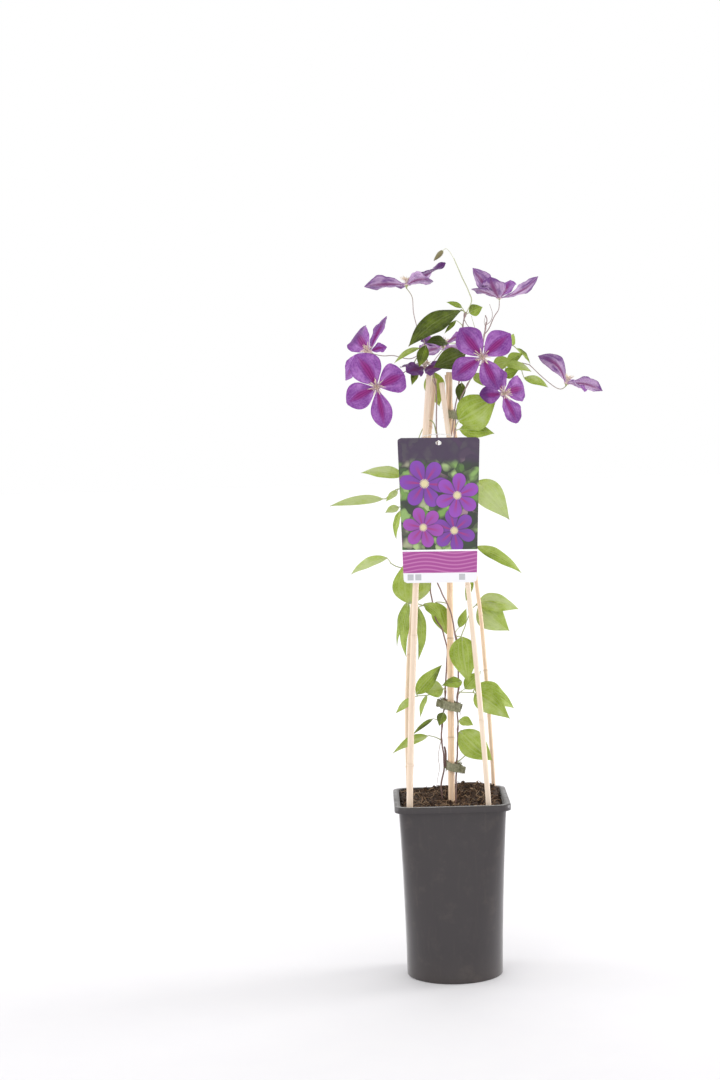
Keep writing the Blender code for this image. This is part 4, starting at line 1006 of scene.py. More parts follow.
def blossom(paint, x, y, colour, centre, size, petals, turn, fill):
    """Paint a plain round blossom on the card, over what colour holds."""
    dx, dy = x - centre[0], y - centre[1]
    distance = (dx * dx + dy * dy).math("SQRT")
    angle = dy.math("ARCTAN2", dx) + math.radians(turn)
    wave = abs((angle * (petals / 2)).cos())
    inside = (wave.math("POWER", 0.5) * 0.62 + 0.38) * size - distance
    share = distance / size
    petal = paint.mix(share.step(0.15, 1.0), fill, tuple(min(1.0, c * 1.25) for c in fill))
    bar = wave.step(0.90, 0.995) * share.step(0.95, 0.3)
    petal = paint.mix(bar * 0.8, petal, BLOSSOM_BAR)
    petal = paint.mix(wave.step(0.30, 0.0, 0.0, 0.75), petal, BLOSSOM_GAP)
    colour = paint.mix(inside.step(-2.4, 0.3) * 0.55, colour, BLOSSOM_SHADOW)
    colour = paint.mix(inside.step(-0.15, 0.15), colour, petal)
    eye = (abs((angle * 9.0).cos()) * 0.5 + 0.5) * (size * 0.2) - distance
    return paint.mix(eye.step(-0.3, 0.3), colour, BLOSSOM_EYE)


def card_material():
    """The card's print: a made-up picture of round blossoms over foliage, a rule and two bands."""
    paint = Paint("label_card", 0.28, {"Coat Weight": 0.3, "Coat Roughness": 0.2})
    x, y, _ = paint.mark("place")
    flat = paint.join(x, y)
    bend = paint.scaled(paint.noise(flat, 0.05, 2.0, output=1), 26.0)
    cell = paint.cells(paint.vector("ADD", flat, bend), 0.085)
    colour = paint.ramp(cell.output(1).parts()[0], *CARD_FOLIAGE)
    colour = paint.mix(cell.step(0.30, 0.75, 0.0, 0.85), colour, CARD_GAPS)
    colour = paint.mix(y.step(50.0, 62.0) * 0.95, colour, CARD_DUSK)
    for centre, size, petals, turn, fill in CARD_BLOSSOMS:
        colour = blossom(paint, x, y, colour, centre, size, petals, turn, fill)
    waves = (y * 1.4 + (x * 0.09).sin() * 3.0).sin()
    colour = paint.mix(y.below(CARD_BAND_TOP), colour, paint.mix(waves.step(0.1, 0.9), *CARD_BAND))
    colour = paint.mix(y.above(CARD_BAND_TOP) * y.below(CARD_BAND_TOP + CARD_RULE), colour, CARD_WHITE)
    colour = paint.mix(y.below(CARD_STRIP_TOP), colour, CARD_STRIP)
    top = CARD_STRIP_TOP - CARD_BLOCK_DROP
    for left in CARD_BLOCKS:
        block = x.above(left) * x.below(left + CARD_BLOCK_SIZE)
        block = block * y.below(top) * y.above(top - CARD_BLOCK_SIZE)
        colour = paint.mix(block, colour, CARD_BLOCK)
    return paint.finish(colour)


def floor_material():
    """White round the pot, brighter further off, so that it runs into the white behind it."""
    paint = Paint("studio_white", 0.8, {"Specular IOR Level": 0.1, "Emission Color": WHITE})
    away = paint.node("VectorMath", {0: paint.node("TexCoord", output=3)}, 1, operation="LENGTH")
    paint.link(away.step(*FLOOR_FADE, 0.0, FLOOR_GLOW), paint.shader.inputs["Emission Strength"])
    return paint.finish(paint.mix(paint.noise(paint.spot(), 0.02, 2.0), FLOOR_COLOUR, FLOOR_SHADE))


# Pot
def rounded_square(half, corner, z):
    """Points round a square with rounded corners, the flats divided too."""
    corner = min(corner, half - 0.4)
    flat = half - corner
    spots = []
    for k in range(CORNER_STEPS + 1):
        angle = math.pi / 2 * k / CORNER_STEPS
        spots.append((flat + corner * math.cos(angle), flat + corner * math.sin(angle)))
    spots += [(flat * (1 - 2 * k / FLAT_STEPS), half) for k in range(1, FLAT_STEPS)]
    points = []
    for quarter in range(4):
        c, s = math.cos(math.pi / 2 * quarter), math.sin(math.pi / 2 * quarter)
        points += [Vector((x * c - y * s, x * s + y * c, z)) for x, y in spots]
    return points


def pot_section(z, inset=0.0):
    """The pot's half width and corner radius at a height, and that height."""
    rise = min(1.0, z / POT_NECK_HEIGHT)
    half = POT_FOOT_HALF + (POT_NECK_HALF - POT_FOOT_HALF) * rise ** POT_FLARE
    corner = POT_FOOT_HALF + (POT_NECK_CORNER - POT_FOOT_HALF) * rise ** 0.9
    return half - inset, max(corner - inset, 3.0), z


def stack(builder, rings):
    """A closed solid through rings of equal count, capped at both ends."""
    count = len(rings[0])
    points = [p for ring in rings for p in ring]
    place = [(p[2], k / count, 0.0) for ring in rings for k, p in enumerate(ring)]
    builder.add(points, ring_faces(len(rings), count), place, [(0.0, 0.0, 0.0)] * len(points))


def make_pot():
    """The pot from the middle of its foot, up its outside, over its lip and down its inside."""
    low, top = POT_HEIGHT - LIP_HEIGHT, POT_HEIGHT
    neck, neck_corner, lip_half, corner = POT_NECK_HALF, POT_NECK_CORNER, LIP_HALF, POT_NECK_CORNER + 2
    half, inner, _ = pot_section(POT_NECK_HEIGHT, POT_WALL)
    foot = [(radius, radius, z) for radius, z in (
        (PAD_RADIUS, 0.0), (PAD_RADIUS + 0.5, RECESS_DEPTH),
        (FOOT_RING_INNER, RECESS_DEPTH), (FOOT_RING_INNER + 0.6, 0.0))]
    for angle in (math.pi / 2 * k / 4 for k in range(5)):
        foot.append((POT_FOOT_HALF - FOOT_ROUND + FOOT_ROUND * math.sin(angle), POT_FOOT_HALF,
                     FOOT_ROUND * (1 - math.cos(angle))))
    wall = [pot_section(FOOT_ROUND + (POT_NECK_HEIGHT - FOOT_ROUND) * k / WALL_STEPS)
            for k in range(1, WALL_STEPS + 1)]
    lip = [
        (neck + 0.2, neck_corner, low - 0.4), (neck + 1.0, neck_corner + 1.0, low),
        (lip_half - 1.0, corner - 1.0, low), (lip_half - 0.6, corner - 0.6, low - 0.4),
        (lip_half - 0.2, corner - 0.2, low - 0.4), (lip_half, corner, low - 0.1),
        (lip_half, corner, low + 2.4), (lip_half - 0.1, corner, top - 1.2),
        (lip_half - 0.4, corner - 0.3, top - 0.4), (lip_half - 1.0, corner - 0.8, top),
        (half + 0.8, inner + 0.8, top), (half + 0.2, inner + 0.2, top - 0.3), (half, inner, top - 0.9),
    ]
    inside = [pot_section(POT_NECK_HEIGHT + (FLOOR_TOP - POT_NECK_HEIGHT) * k / INNER_STEPS, POT_WALL)
              for k in range(INNER_STEPS + 1)]
    builder = Builder()
    stack(builder, [rounded_square(*ring) for ring in foot + wall + lip + inside])
    cut_drains(builder.build("nursery_pot", [pot_material()], "pot_plastic", ["pot"], 38.0))


def cut_drains(pot):
    """Cut the round drain holes through the pot's floor."""
    group = bpy.data.collections.new("drains")
    bpy.context.scene.collection.children.link(group)
    for k in range(DRAIN_HOLES):
        angle = math.tau * k / DRAIN_HOLES
        bpy.ops.mesh.primitive_cylinder_add(
            vertices=28, radius=DRAIN_RADIUS * MM, depth=12 * MM,
            location=(DRAIN_CIRCLE * math.cos(angle) * MM, DRAIN_CIRCLE * math.sin(angle) * MM, 3 * MM))
        hole = bpy.context.object
        bpy.context.scene.collection.objects.unlink(hole)
        group.objects.link(hole)
    cut = pot.modifiers.new("drains", "BOOLEAN")
    cut.operation = "DIFFERENCE"
    cut.operand_type = "COLLECTION"
    cut.collection = group
    cut.solver = "EXACT"
    graph = bpy.context.evaluated_depsgraph_get()
    graph.update()
    baked = bpy.data.meshes.new_from_object(pot.evaluated_get(graph))
    pot.modifiers.clear()
    pot.data = baked
    for hole in list(group.objects):
        bpy.data.objects.remove(hole)
    bpy.data.collections.remove(group)


# Soil
def soil_top(x, y):
    """Height of the soil: low at the front, a mound at the back right, clods and crevices."""
    rise = SOIL_BACK_RISE / (1 + math.exp(-y / 14))
    mound_x, mound_y, mound = SOIL_MOUND
    spread_x, spread_y = SOIL_MOUND_SPREAD
    mound *= hump(x - mound_x, spread_x) * hump(y - mound_y, spread_y)
    spot = Vector((x, y, 7.0))
    big = noise.fractal(spot * 0.055, 0.9, 2.1, 3)
    small = noise.turbulence(spot * 0.16, 4, False)
    return SOIL_LEVEL + rise + mound + (CRUMB_HEIGHTS[0] * big + CRUMB_HEIGHTS[1] * (small - 0.55))


def make_soil():
    builder = Builder()
    inset = POT_WALL + GAP
    rings = [rounded_square(*pot_section(z, inset)) for z in (FLOOR_TOP + GAP, 60.0, 130.0, SOIL_LEVEL - 14)]
    edge = rounded_square(*pot_section(POT_NECK_HEIGHT, inset))
    for r in range(SOIL_RINGS, 0, -1):
        scale = r / SOIL_RINGS
        sink = SOIL_EDGE_SINK * max(0.0, (scale - 1 + SOIL_EDGE) / SOIL_EDGE)
        rings.append([Vector((x, y, soil_top(x, y) - sink)) for x, y, z in (p * scale for p in edge)])
    stack(builder, rings)
    builder.build("peat_soil", [soil_material()], "peat", ["soil"], 80.0)


def soil_spot(rng, reach=0.95):
    """A random spot on the soil, off its corners."""
    while True:
        x, y = (rng.uniform(-1, 1) * POT_NECK_HALF * reach for _ in range(2))
        far, near = max(abs(x), abs(y)), min(abs(x), abs(y))
        if near <= SOIL_CORNER and far < SOIL_REACH + 1:
            return x, y, soil_top(x, y)


def lump(builder, rng, centre, size, tone):
    """A small rough clod."""
    rows, sides = 5, 8
    turn = Quaternion(Vector([rng.uniform(-1, 1) for _ in range(3)]).normalized(), rng.uniform(0, 6))
    stretch = Vector((1.0, rng.uniform(0.6, 1.0), rng.uniform(0.5, 0.9)))
    shift = Vector([rng.uniform(0, 99) for _ in range(3)])
    points, place = [], []
    for r in range(rows):
        high = math.pi * (r + 0.5) / rows
        for k in range(sides):
            angle = math.tau * k / sides
            flat = math.sin(high)
            spoke = Vector((flat * math.cos(angle), flat * math.sin(angle), math.cos(high)))
            rough = 1 + 0.45 * noise.noise(spoke * 1.6 + shift)
            points.append(Vector(centre) + turn @ (spoke * stretch * (size * rough)))
            place.append((0.0, k / sides, tone))
    faces = [(face[0], *face[:0:-1]) for face in ring_faces(rows, sides)]
    builder.add(points, faces, place, [(0.0, tone, 0.0)] * len(points))


def make_crumbs():
    """Loose clods on the soil, and its fibres and wood chips."""
    rng = random.Random(PEAT_SEED)
    builder = Builder()
    for k in range(CLODS):
        x, y, z = soil_spot(rng)
        size = rng.uniform(0.5, 1.3) if k % 5 else rng.uniform(1.3, 2.6)
        lump(builder, rng, (x, y, z + size * 0.25), size, rng.random())
    builder.build("peat_clods", [soil_material("peat_clod", 0.15)], "peat", sharp=80.0)
    builder = Builder()
    for k in range(FIBRES):
        x, y, z = soil_spot(rng, 0.9)
        length = rng.uniform(4, 19)
        turn = rng.uniform(0, math.tau)
        bend = rng.uniform(-1.3, 1.3)
        points = []
        for share in (i / 3 - 0.5 for i in range(4)):
            px, py = (max(-SOIL_REACH, min(SOIL_REACH, middle + part(turn + bend * share) * length * share))
                      for middle, part in ((x, math.cos), (y, math.sin)))
            points.append((px, py, soil_top(px, py) + rng.uniform(0.1, 2.0)))
        thick = rng.uniform(0.15, 0.5) if k % 6 else rng.uniform(0.5, 0.95)

        def radius(share, at, angle):
            return thick * (0.35 + 0.65 * math.sin(math.pi * share) ** 0.5)
        tube(builder, through(points, 1.6), radius, 5, rng.random(), rng.random())
    for k in range(CHIPS):
        x, y, z = soil_spot(rng, 0.85)
        length = rng.uniform(2.5, 6)
        turn = rng.uniform(0, math.tau)
        middle = Vector((x, y, z + 0.6))
        reach = Vector((math.cos(turn), math.sin(turn), rng.uniform(-0.3, 0.4))) * length / 2
        blade(builder, middle - reach, middle + reach, length * rng.uniform(0.3, 0.7),
              (rng.uniform(-0.5, 0.5), rng.uniform(-0.5, 0.5), 1), 0.05, 0, 0.1, 0.6, 5, 4,
              lambda t: 0.55 + 0.45 * math.sin(math.pi * t), lambda t, s: 0.0, 0,
              rng.uniform(0.5, 1.0), rng.random())
    builder.build("peat_fibres", [fibre_material()], "peat")


# Canes
def make_canes():
    for number, (name, (radius, points)) in enumerate(CANES.items()):
        base, dark, blotch, scars, slot, joints = CANE_LOOKS[name]
        length = measure(through(points, CANE_STEP))[-1]
        builder = Builder()
        cane_tube(builder, through(points, 3.0), radius, [length * share for share in joints], number)
        material = cane_material(name.replace("cane", "bamboo"), base, dark, blotch, scars)
        builder.build(name.replace("cane", "bamboo_cane"), [material], slot, [name], 50.0)


def cane_tube(builder, path, radius, joints, number):
    """A cane that swells at each joint, with a groove above it, and a hollow upper end."""
    lengths = measure(path)
    total = lengths[-1]
    fine = []
    for at in sorted(set(lengths) | {j + d for j in joints for d in JOINT_ROWS}):
        if 0 <= at <= total and (not fine or at - fine[-1] > 0.25):
            fine.append(at)
    centres = []
    k = 0
    for at in fine:
        while k < len(lengths) - 2 and lengths[k + 1] < at:
            k += 1
        share = (at - lengths[k]) / (lengths[k + 1] - lengths[k])
        centres.append(path[k].lerp(path[k + 1], min(1.0, share)))
    turns = frames(centres)
    end, last = centres[-1], fine[-1]
    forward = (end - centres[-2]).normalized()
    profile = [(centre, at, 1.0) for centre, at in zip(centres[:-1], fine)]
    profile += [(end - forward * 0.5, last - 0.5, 1.0), (end, last, 0.9), (end, last, 0.45),
                (end - forward * 1.5, last, 0.35)]
    points, place, look = [], [], []
    for i, (centre, at, shrink) in enumerate(profile):
        across, side = turns[min(i, len(turns) - 1)]
        near = min((at - j for j in joints), key=abs)
        swell = 0.42 * hump(near + 0.6, 1.3) - 0.22 * hump(near - 1.0, 0.5)
        scar = hump(near - 0.7, 0.9)
        taper = 1 - (1 - CANE_TAPER) * at / total
        for k in range(CANE_SIDES):
            angle = math.tau * k / CANE_SIDES
            lobe = 1 + 0.02 * math.cos(2 * angle + number) + 0.015 * math.sin(3 * angle + at * 0.02)
            lobe *= 1 + 0.02 * wander(at * 0.03, number * 9.0, math.cos(angle))
            r = (radius * taper * lobe + swell) * shrink
            points.append(centre + circle(across, side, angle) * r)
            # Inside the hollow upper end the mark is 0.5: painted shade in the hollow
            place.append((at, k / CANE_SIDES, max(scar, 0.5 if shrink < 0.9 else 0.0)))
            look.append((at / total, number * 0.37, 0.0))
    builder.add(points, ring_faces(len(profile), CANE_SIDES), place, look)


# Plant label and its loop
def make_label():
    """The card as a grid whose rows follow its tapered sides, its rounded corners and its hole."""
    right = Vector((math.cos(LABEL_ROLL), 0, -math.sin(LABEL_ROLL)))
    out = Vector((0, -math.cos(LABEL_LEAN), math.sin(LABEL_LEAN)))
    up = out.cross(right).normalized()
    out = right.cross(up).normalized()
    half_height = LABEL_HEIGHT / 2
    hole_y = half_height - LABEL_HOLE_DROP
    rows, columns = LABEL_GRID
    grid = {}
    builder = Builder()
    points, place, look, faces = [], [], [], []

    def half_width(y):
        share = (y + half_height) / LABEL_HEIGHT
        side = (LABEL_BOTTOM_WIDTH + (LABEL_TOP_WIDTH - LABEL_BOTTOM_WIDTH) * share) / 2
        into = max(0.0, abs(y) - (half_height - LABEL_CORNER))
        return side - LABEL_CORNER + math.sqrt(max(0.0, LABEL_CORNER ** 2 - into ** 2))

    for front in (1, 0):
        for r in range(rows + 1):
            v = 2 * r / rows - 1
            y = half_height * (v + 0.12 * math.sin(math.pi * v) / math.pi)
            for c in range(columns + 1):
                x = half_width(y) * (2 * c / columns - 1)
                bow = LABEL_BOW * (x / 45) ** 2 - LABEL_ARCH * math.cos(math.pi * y / LABEL_HEIGHT)
                px, py = x, y
                away = math.hypot(x, y - hole_y)
                if 1e-6 < away < LABEL_HOLE_RADIUS + HOLE_REACH:
                    push = (LABEL_HOLE_RADIUS + away * HOLE_REACH / (LABEL_HOLE_RADIUS + HOLE_REACH)) / away
                    px, py = x * push, hole_y + (y - hole_y) * push
                depth = bow + (LABEL_THICKNESS / 2 if front else -LABEL_THICKNESS / 2) * 0.7
                grid[front, r, c] = len(points)
                points.append(Vector(LABEL_CENTRE) + right * px + up * min(py, half_height) + out * depth)
                place.append((px, py, 0.0))
                look.append((float(front), 0.0, 0.0))

    def corners(r, c):
        return [(r, c), (r, c + 1), (r + 1, c + 1), (r + 1, c)]

    solid = []
    for cell in ((r, c) for r in range(rows) for c in range(columns)):
        middle = sum((Vector(place[grid[1, a, b]]) for a, b in corners(*cell)), Vector()) / 4
        if math.hypot(middle.x, middle.y - hole_y) >= LABEL_HOLE_RADIUS:
            solid.append(cell)
            faces.append(tuple(grid[1, a, b] for a, b in corners(*cell)))
            faces.append(tuple(grid[0, a, b] for a, b in reversed(corners(*cell))))
    kept = set(solid)
    for r, c in solid:
        low_left, low_right, high_right, high_left = corners(r, c)
        for cell, a, b in (((r, c - 1), high_left, low_left), ((r, c + 1), low_right, high_right),
                           ((r - 1, c), low_left, low_right), ((r + 1, c), high_right, high_left)):
            if cell not in kept:
                faces.append((grid[1, *b], grid[1, *a], grid[0, *a], grid[0, *b]))
    builder.add(points, faces, place, look)
    builder.back_faces = {k for k, face in enumerate(faces) if not all(look[i][0] for i in face)}
    back = plain_material("label_back", 0.35, 0.12, 4.0, 0.3, LABEL_BACK, 0.05)
    builder.build("label_print", [card_material(), back], "label_card", ["label"], 30.0)


def make_label_loop():
    builder = Builder()
    tube(builder, through(LABEL_LOOP, 1.5, closed=True), LABEL_LOOP_RADIUS * 0.9, 8, closed=True)
    material = plain_material("loop_plastic", 0.30, 0.5, 3.0, 0.4, LOOP_WHITE, 0.1)
    builder.build("label_string", [material], "loop_plastic", ["label_loop"])


# Ties
def make_ties():
    material = tie_material()
    for number, (name, tie) in enumerate(TIES.items()):
        tab_x, tab_y = tie.tab
        builder = Builder()
        tie_band(builder, tie, number)
        tie_flap(builder, tie, Vector((tab_x, tab_y, 0)), TIE_TAB, number)
        tie_flap(builder, tie, Vector((-tab_x, -tab_y * 0.4, 0)), TIE_TAB * 0.4, number)
        tie_frays(builder, tie, number)
        builder.build(name.replace("stem_tie", "tape_tie"), [material], "tie_plastic", [name], 50.0)


def tie_edge(tie, angle, grow=0.0):
    """A point of the tape's oval, on the slant on which the tape runs."""
    turn = math.radians(tie.turn)
    x, y = (tie.halves[0] + grow) * math.cos(angle), (tie.halves[1] + grow) * math.sin(angle)
    across = x * math.cos(turn) - y * math.sin(turn)
    return Vector(tie.centre) + Vector((across, x * math.sin(turn) + y * math.cos(turn), -across * TIE_TILT))


def tie_frays(builder, tie, number):
    """Threads and torn slivers along both edges of the tape."""
    rng = random.Random(FRAY_SEED + number)
    for k in range(TIE_FRAYS):
        root = tie_edge(tie, rng.uniform(0, math.tau), 0.5)
        rise = 0.5 if k % 3 else -0.5
        root.z += rise * tie.height * 0.96
        outward = Vector((root.x - tie.centre[0], root.y - tie.centre[1], 0)).normalized()
        reach = Vector((rng.uniform(-1, 1), rng.uniform(-1, 1), rng.uniform(0.5, 2.0)))
        reach.z *= math.copysign(1, rise)
        reach = (reach + outward * 1.3).normalized() * rng.uniform(1.0, 4.2)
        tube(builder, through([root, root + reach * 0.6, root + reach + outward * 0.6], 1.0),
             lambda share, at, angle, r=rng.uniform(0.14, 0.34): r * (1 - 0.7 * share), 5, 0.0, float(number))


def tie_band(builder, tie, number):
    """A crinkled band of tape: rings up its outside and down its inside."""
    points, place = [], []
    outside = [(r, 0.75) for r in range(TIE_ROWS + 1)]
    inside = [(r, 0.1) for r in reversed(range(TIE_ROWS + 1))]
    for r, grow in outside + inside:
        rise = (r / TIE_ROWS - 0.5) * tie.height
        for k in range(TIE_SIDES):
            angle = math.tau * k / TIE_SIDES
            x, y = math.cos(angle), math.sin(angle)
            crease = 0.45 * wander(x * 3, y * 3, rise * 0.22 + number * 5)
            ragged = 0.7 * wander(x * 5, y * 5, number * 7 + (3 if r else 0))
            p = tie_edge(tie, angle, crease + grow)
            p.z += rise + (ragged if r in (0, TIE_ROWS) else 0.0)
            points.append(p)
            place.append((angle, rise, 0.0))
    faces = ring_faces(2 * TIE_ROWS + 2, TIE_SIDES, closed=True)
    builder.add(points, faces, place, [(0.0, 0.0, 0.0)] * len(points))


def tie_flap(builder, tie, direction, reach, number):
    """The tape's end, pinched together and ragged."""
    direction.normalize()
    aim = Vector(tie.centre).xy + direction.xy * 30
    start = min((tie_edge(tie, math.tau * k / 72) for k in range(72)), key=lambda p: (p.xy - aim).length)
    direction = (direction - Vector((0, 0, direction.x * TIE_TILT * 1.5))).normalized()
    blade(builder, start - direction * 0.8, start + direction * reach, tie.height * 1.05,
          direction.cross(Vector((0, 0, 1))), 0.02, 12, 0.05, 1.2, 8, 9,
          lambda t: 0.92 - 0.12 * t + 0.08 * math.sin(9 * t + number),
          lambda t, s: 0.10 * math.sin(7 * t + 4 * s + number), 0, 0.0, number)


# Vines
def start_point(stem, start):
    """Where a stalk or twig begins: a given point, or the point of the rising stem at a height."""
    if isinstance(start, tuple):
        return Vector(start)
    path = through(stem, STEM_STEP)
    for a, b in zip(path, path[1:]):
        if a.z <= start <= b.z:
            return a.lerp(b, (start - a.z) / (b.z - a.z))
    return path[-1]


def leaf_outline(t, taper):
    """Half width of a leaf at t: a rounded base, and a drawn-out tip."""
    return max(0.035 + 0.10 * max(0.0, 0.04 - t) / 0.04, math.sin(math.pi * t ** taper) ** 1.05)


def leaf_relief(rng, swelling):
    """Sunken veins, lobes between them and a waved margin, as a function of (t, s)."""
    waves = rng.uniform(1.6, 3.0)
    phases = (rng.uniform(0, 6), rng.uniform(0, 6))
    droop = rng.uniform(0.0, 0.16)
    swing = rng.uniform(0.03, 0.075)

    def relief(t, s):
        off = abs(s)
        full = math.sin(math.pi * t) ** 0.6
        vein = -0.045 * hump(off, 0.08)
        for at in LEAF_VEIN_PLACES:
            vein -= 0.032 * hump(off - at, 0.09)
        quilt = 0.022 * math.sin(off * math.pi / 0.33) ** 2 * math.sin(t * 34 + off * 6)
        swell = swelling * math.sin(s * 3.4 + phases[1]) * math.sin(t * 7 + phases[0])
        margin = swing * off ** 2.2 * math.sin(math.tau * waves * t + phases[s > 0])
        return (vein + quilt + swell) * full + margin - droop * off ** 3 * full
    return relief


def make_leaf(builder, leaf, number, tone):
    rng = random.Random(LEAF_SEED + number)
    rows, columns = LEAF_GRID if leaf.width > SMALL_LEAF else SMALL_LEAF_GRID
    blade(builder, leaf.base, leaf.tip, leaf.width, leaf.face, leaf.arch, rng.uniform(-14, 14),
          LEAF_FOLD * 0.9, LEAF_THICKNESS, rows, columns, lambda t: leaf_outline(t, leaf.taper),
          leaf_relief(rng, 0.10 if leaf.width > BIG_LEAF else 0.05), rng.uniform(-0.05, 0.05),
          tone + rng.uniform(-0.04, 0.04), rng.uniform(0, 50))


def leaf_stalk(builder, stem, leaf):
    """The petiole, from the stem or twig into the blade's root."""
    start = start_point(stem, leaf.start)
    base = Vector(leaf.base)
    axis = Vector(leaf.tip) - base
    reach = (base - start).length
    up = Vector(leaf.face)
    up = (up - axis * up.dot(axis) / axis.length_squared).normalized()
    inside = base + (axis.normalized() + up * (leaf.arch * 4)) * min(5.0, axis.length * 0.18)
    middle = [start.lerp(base, 0.5) + Vector((0, 0, 0.08 * reach))] if reach > 6 else []
    thick = 0.62 if leaf.width > SMALL_LEAF else 0.48

    def radius(share, at, angle):
        return thick * (1.25 * math.exp(-at / 1.6) * 0.45 + 1 - 0.55 * max(0.0, (share - 0.75) / 0.25))
    tube(builder, through([start, *middle, base, inside], 2.5), radius, 8, STALK_TONE)


def stem_tube(builder, points, thick, tone, seed, knobs=()):
    """A stem or twig: a little crooked, swollen where leaves or twigs leave it."""
    path = through(points, 2.6)
    count = len(path)
    for i in range(1, count - 1):
        ends = min(1.0, min(i, count - 1 - i) / 4)
        shift = Vector((wander(i * 0.19, seed, 0), wander(i * 0.19, seed, 9), 0))
        path[i] = path[i] + shift * 1.1 * ends

    def radius(share, at, angle):
        z = path[min(count - 1, int(share * (count - 1) + 0.5))].z
        swell = sum(0.45 * hump(z - k, 2.2) for k in knobs)
        ridge = 0.10 * math.sin(3 * angle + at * 0.05) + 0.06 * wander(at * 0.4, angle, seed)
        return (thick[0] + (thick[1] - thick[0]) * share) * (1 + ridge) + swell
    tube(builder, path, radius, 9, tone, seed)


def flower_stalk(builder, stem, bloom, seed):
    first, via = bloom.stalk
    centre = Vector(bloom.centre)
    face = Vector(bloom.face).normalized()

    def radius(share, at, angle):
        return 0.50 + 0.15 * math.exp(-at / 3) + 1.9 * max(0.0, (share - 0.93) / 0.07) ** 2
    tube(builder, through([start_point(stem, first), *via, centre - face * 4.0, centre - face * 0.6], 2.2),
         radius, 9, lambda share: 0.5 + 0.25 * share ** 6, seed)


def bud_stalk(builder):
    first, via = BUD_STALK
    base = Vector(BUD_BASE)
    away = (base - Vector(BUD_TIP)).normalized()
    tube(builder, through([first, *via, base + away * 1.5, base - away * 0.6], 1.2),
         lambda share, at, angle: 0.34 + 0.8 * max(0.0, (share - 0.86) / 0.14) ** 2, 8, 1.0, 5.0)


def make_vine(name, vine, tones):
    stems, leaves = Builder(), Builder()
    forks = [leaf.start for leaf in vine.leaves if not isinstance(leaf.start, tuple)]
    forks += [height for height, points in vine.twigs]
    seed = len(name) * 3.7
    stem_tube(stems, vine.stem, STEM_RADII, lambda share: 0.1 + 0.4 * share, seed, forks)
    twigs = [(TWIG_RADII, TWIG_TONES[name][k], seed + k + 1, *twig) for k, twig in enumerate(vine.twigs)]
    twigs += [(BARE_TWIG_RADII, 0.3 + 0.25 * (k % 3), seed + 50 + k, *twig)
              for k, twig in enumerate(BARE_TWIGS.get(name, ()))]
    for radii, tone, twig_seed, height, points in twigs:
        stem_tube(stems, [start_point(vine.stem, height), *points], radii, tone, twig_seed)
    for k, leaf in enumerate(vine.leaves):
        leaf_stalk(stems, vine.stem, leaf)
        make_leaf(leaves, leaf, int(seed * 10) + k, tones[k])
    for k, bloom in enumerate(BLOOMS.values()):
        if bloom.vine == name:
            flower_stalk(stems, vine.stem, bloom, seed + 20 + k)
    if name == "vine_left":
        bud_stalk(stems)
        stem_tube(stems, OLD_STUB, STUB_RADII, 0.02, seed + 40)
    stems.build(name + "_stems", [STEM_MATERIAL], "leaf_green", [name], 60.0)
    leaves.build(name + "_leaves", [LEAF_MATERIAL], "leaf_green", [name], 60.0)


# Blooms
def sepal_outline(t, root_power, tip_power):
    """Half width of a sepal at t: narrow root, broad middle, a short drawn-out point."""
    power = root_power if t < SEPAL_BROADEST else tip_power
    body = math.sin(math.pi * min(t, 0.985) ** SEPAL_SKEW) ** power
    return max(0.15 * (1 - t) + 0.02, body)


def sepal_relief(rng, crumple):
    """Sunken lines down the bar, soft pleats, and a crinkled margin, as a function of (t, s)."""
    phases = (rng.uniform(0, 6), rng.uniform(0, 6))
    waves = (rng.uniform(1.8, 3.0), rng.uniform(1.8, 3.0))
    ripple = rng.uniform(0, 6)
    cup = rng.uniform(-0.06, 0.14)

    def relief(t, s):
        off = abs(s)
        full = math.sin(math.pi * t) ** 0.5
        lines = -0.040 * hump(off, 0.035)
        for at in SEPAL_LINE_PLACES[:2]:
            lines -= 0.030 * hump(off - at, 0.040)
        pleats = 0.018 * math.sin(s * 15 + ripple + 3 * t) * off
        swell = 0.035 * math.sin(s * 4.2 + ripple) * math.sin(t * 8 + phases[0])
        margin = crumple * off ** 2 * math.sin(math.tau * waves[s > 0] * t + phases[s > 0])
        fine = 0.22 * crumple * off ** 5 * math.sin(math.tau * 7 * t + 2 * phases[s > 0])
        return (lines + pleats + swell + cup * off ** 2 + margin + fine) * full
    return relief


def make_bloom(name, bloom, number):
    centre = Vector(bloom.centre)
    face = Vector(bloom.face).normalized()
    faded_and_shaded = name == "bloom_faded"
    builder = Builder()
    for k, sepal in enumerate(bloom.sepals):
        rng = random.Random(SEPAL_SEED + number * 10 + k)
        outward = Vector(sepal.tip) - centre
        outward = (outward - face * outward.dot(face)).normalized()
        plain = (1.0, sepal.face or bloom.face, rng.uniform(-0.05, 0.05))
        wide, facing, bow = SEPAL_LOOKS.get((name, k), plain)
        crumple = 0.16 if sepal.width < SMALL_SEPAL or faded_and_shaded else rng.uniform(0.08, 0.13)
        root_power = rng.uniform(0.62, 0.90)
        tip_power = rng.uniform(0.78, 0.98) * TIP_POINTS.get(name, 1.0)
        blade(builder, centre + outward * 1.2, sepal.tip, sepal.width * wide, facing, sepal.arch,
              sepal.twist + rng.uniform(-10, 10), SEPAL_FOLD, SEPAL_THICKNESS, *SEPAL_GRID,
              lambda t: sepal_outline(t, root_power, tip_power), sepal_relief(rng, crumple),
              bow, TIP_DARKNESS_AND_SHADE.get((name, k), 0.0), rng.uniform(0, 50))
    material = FADED_AND_SHADED_MATERIAL if faded_and_shaded else SEPAL_MATERIAL
    builder.build(name + "_petals", [material], "sepal_violet", [name + "_sepals"], 70.0)
    make_stamens(name, bloom, number, centre, face)


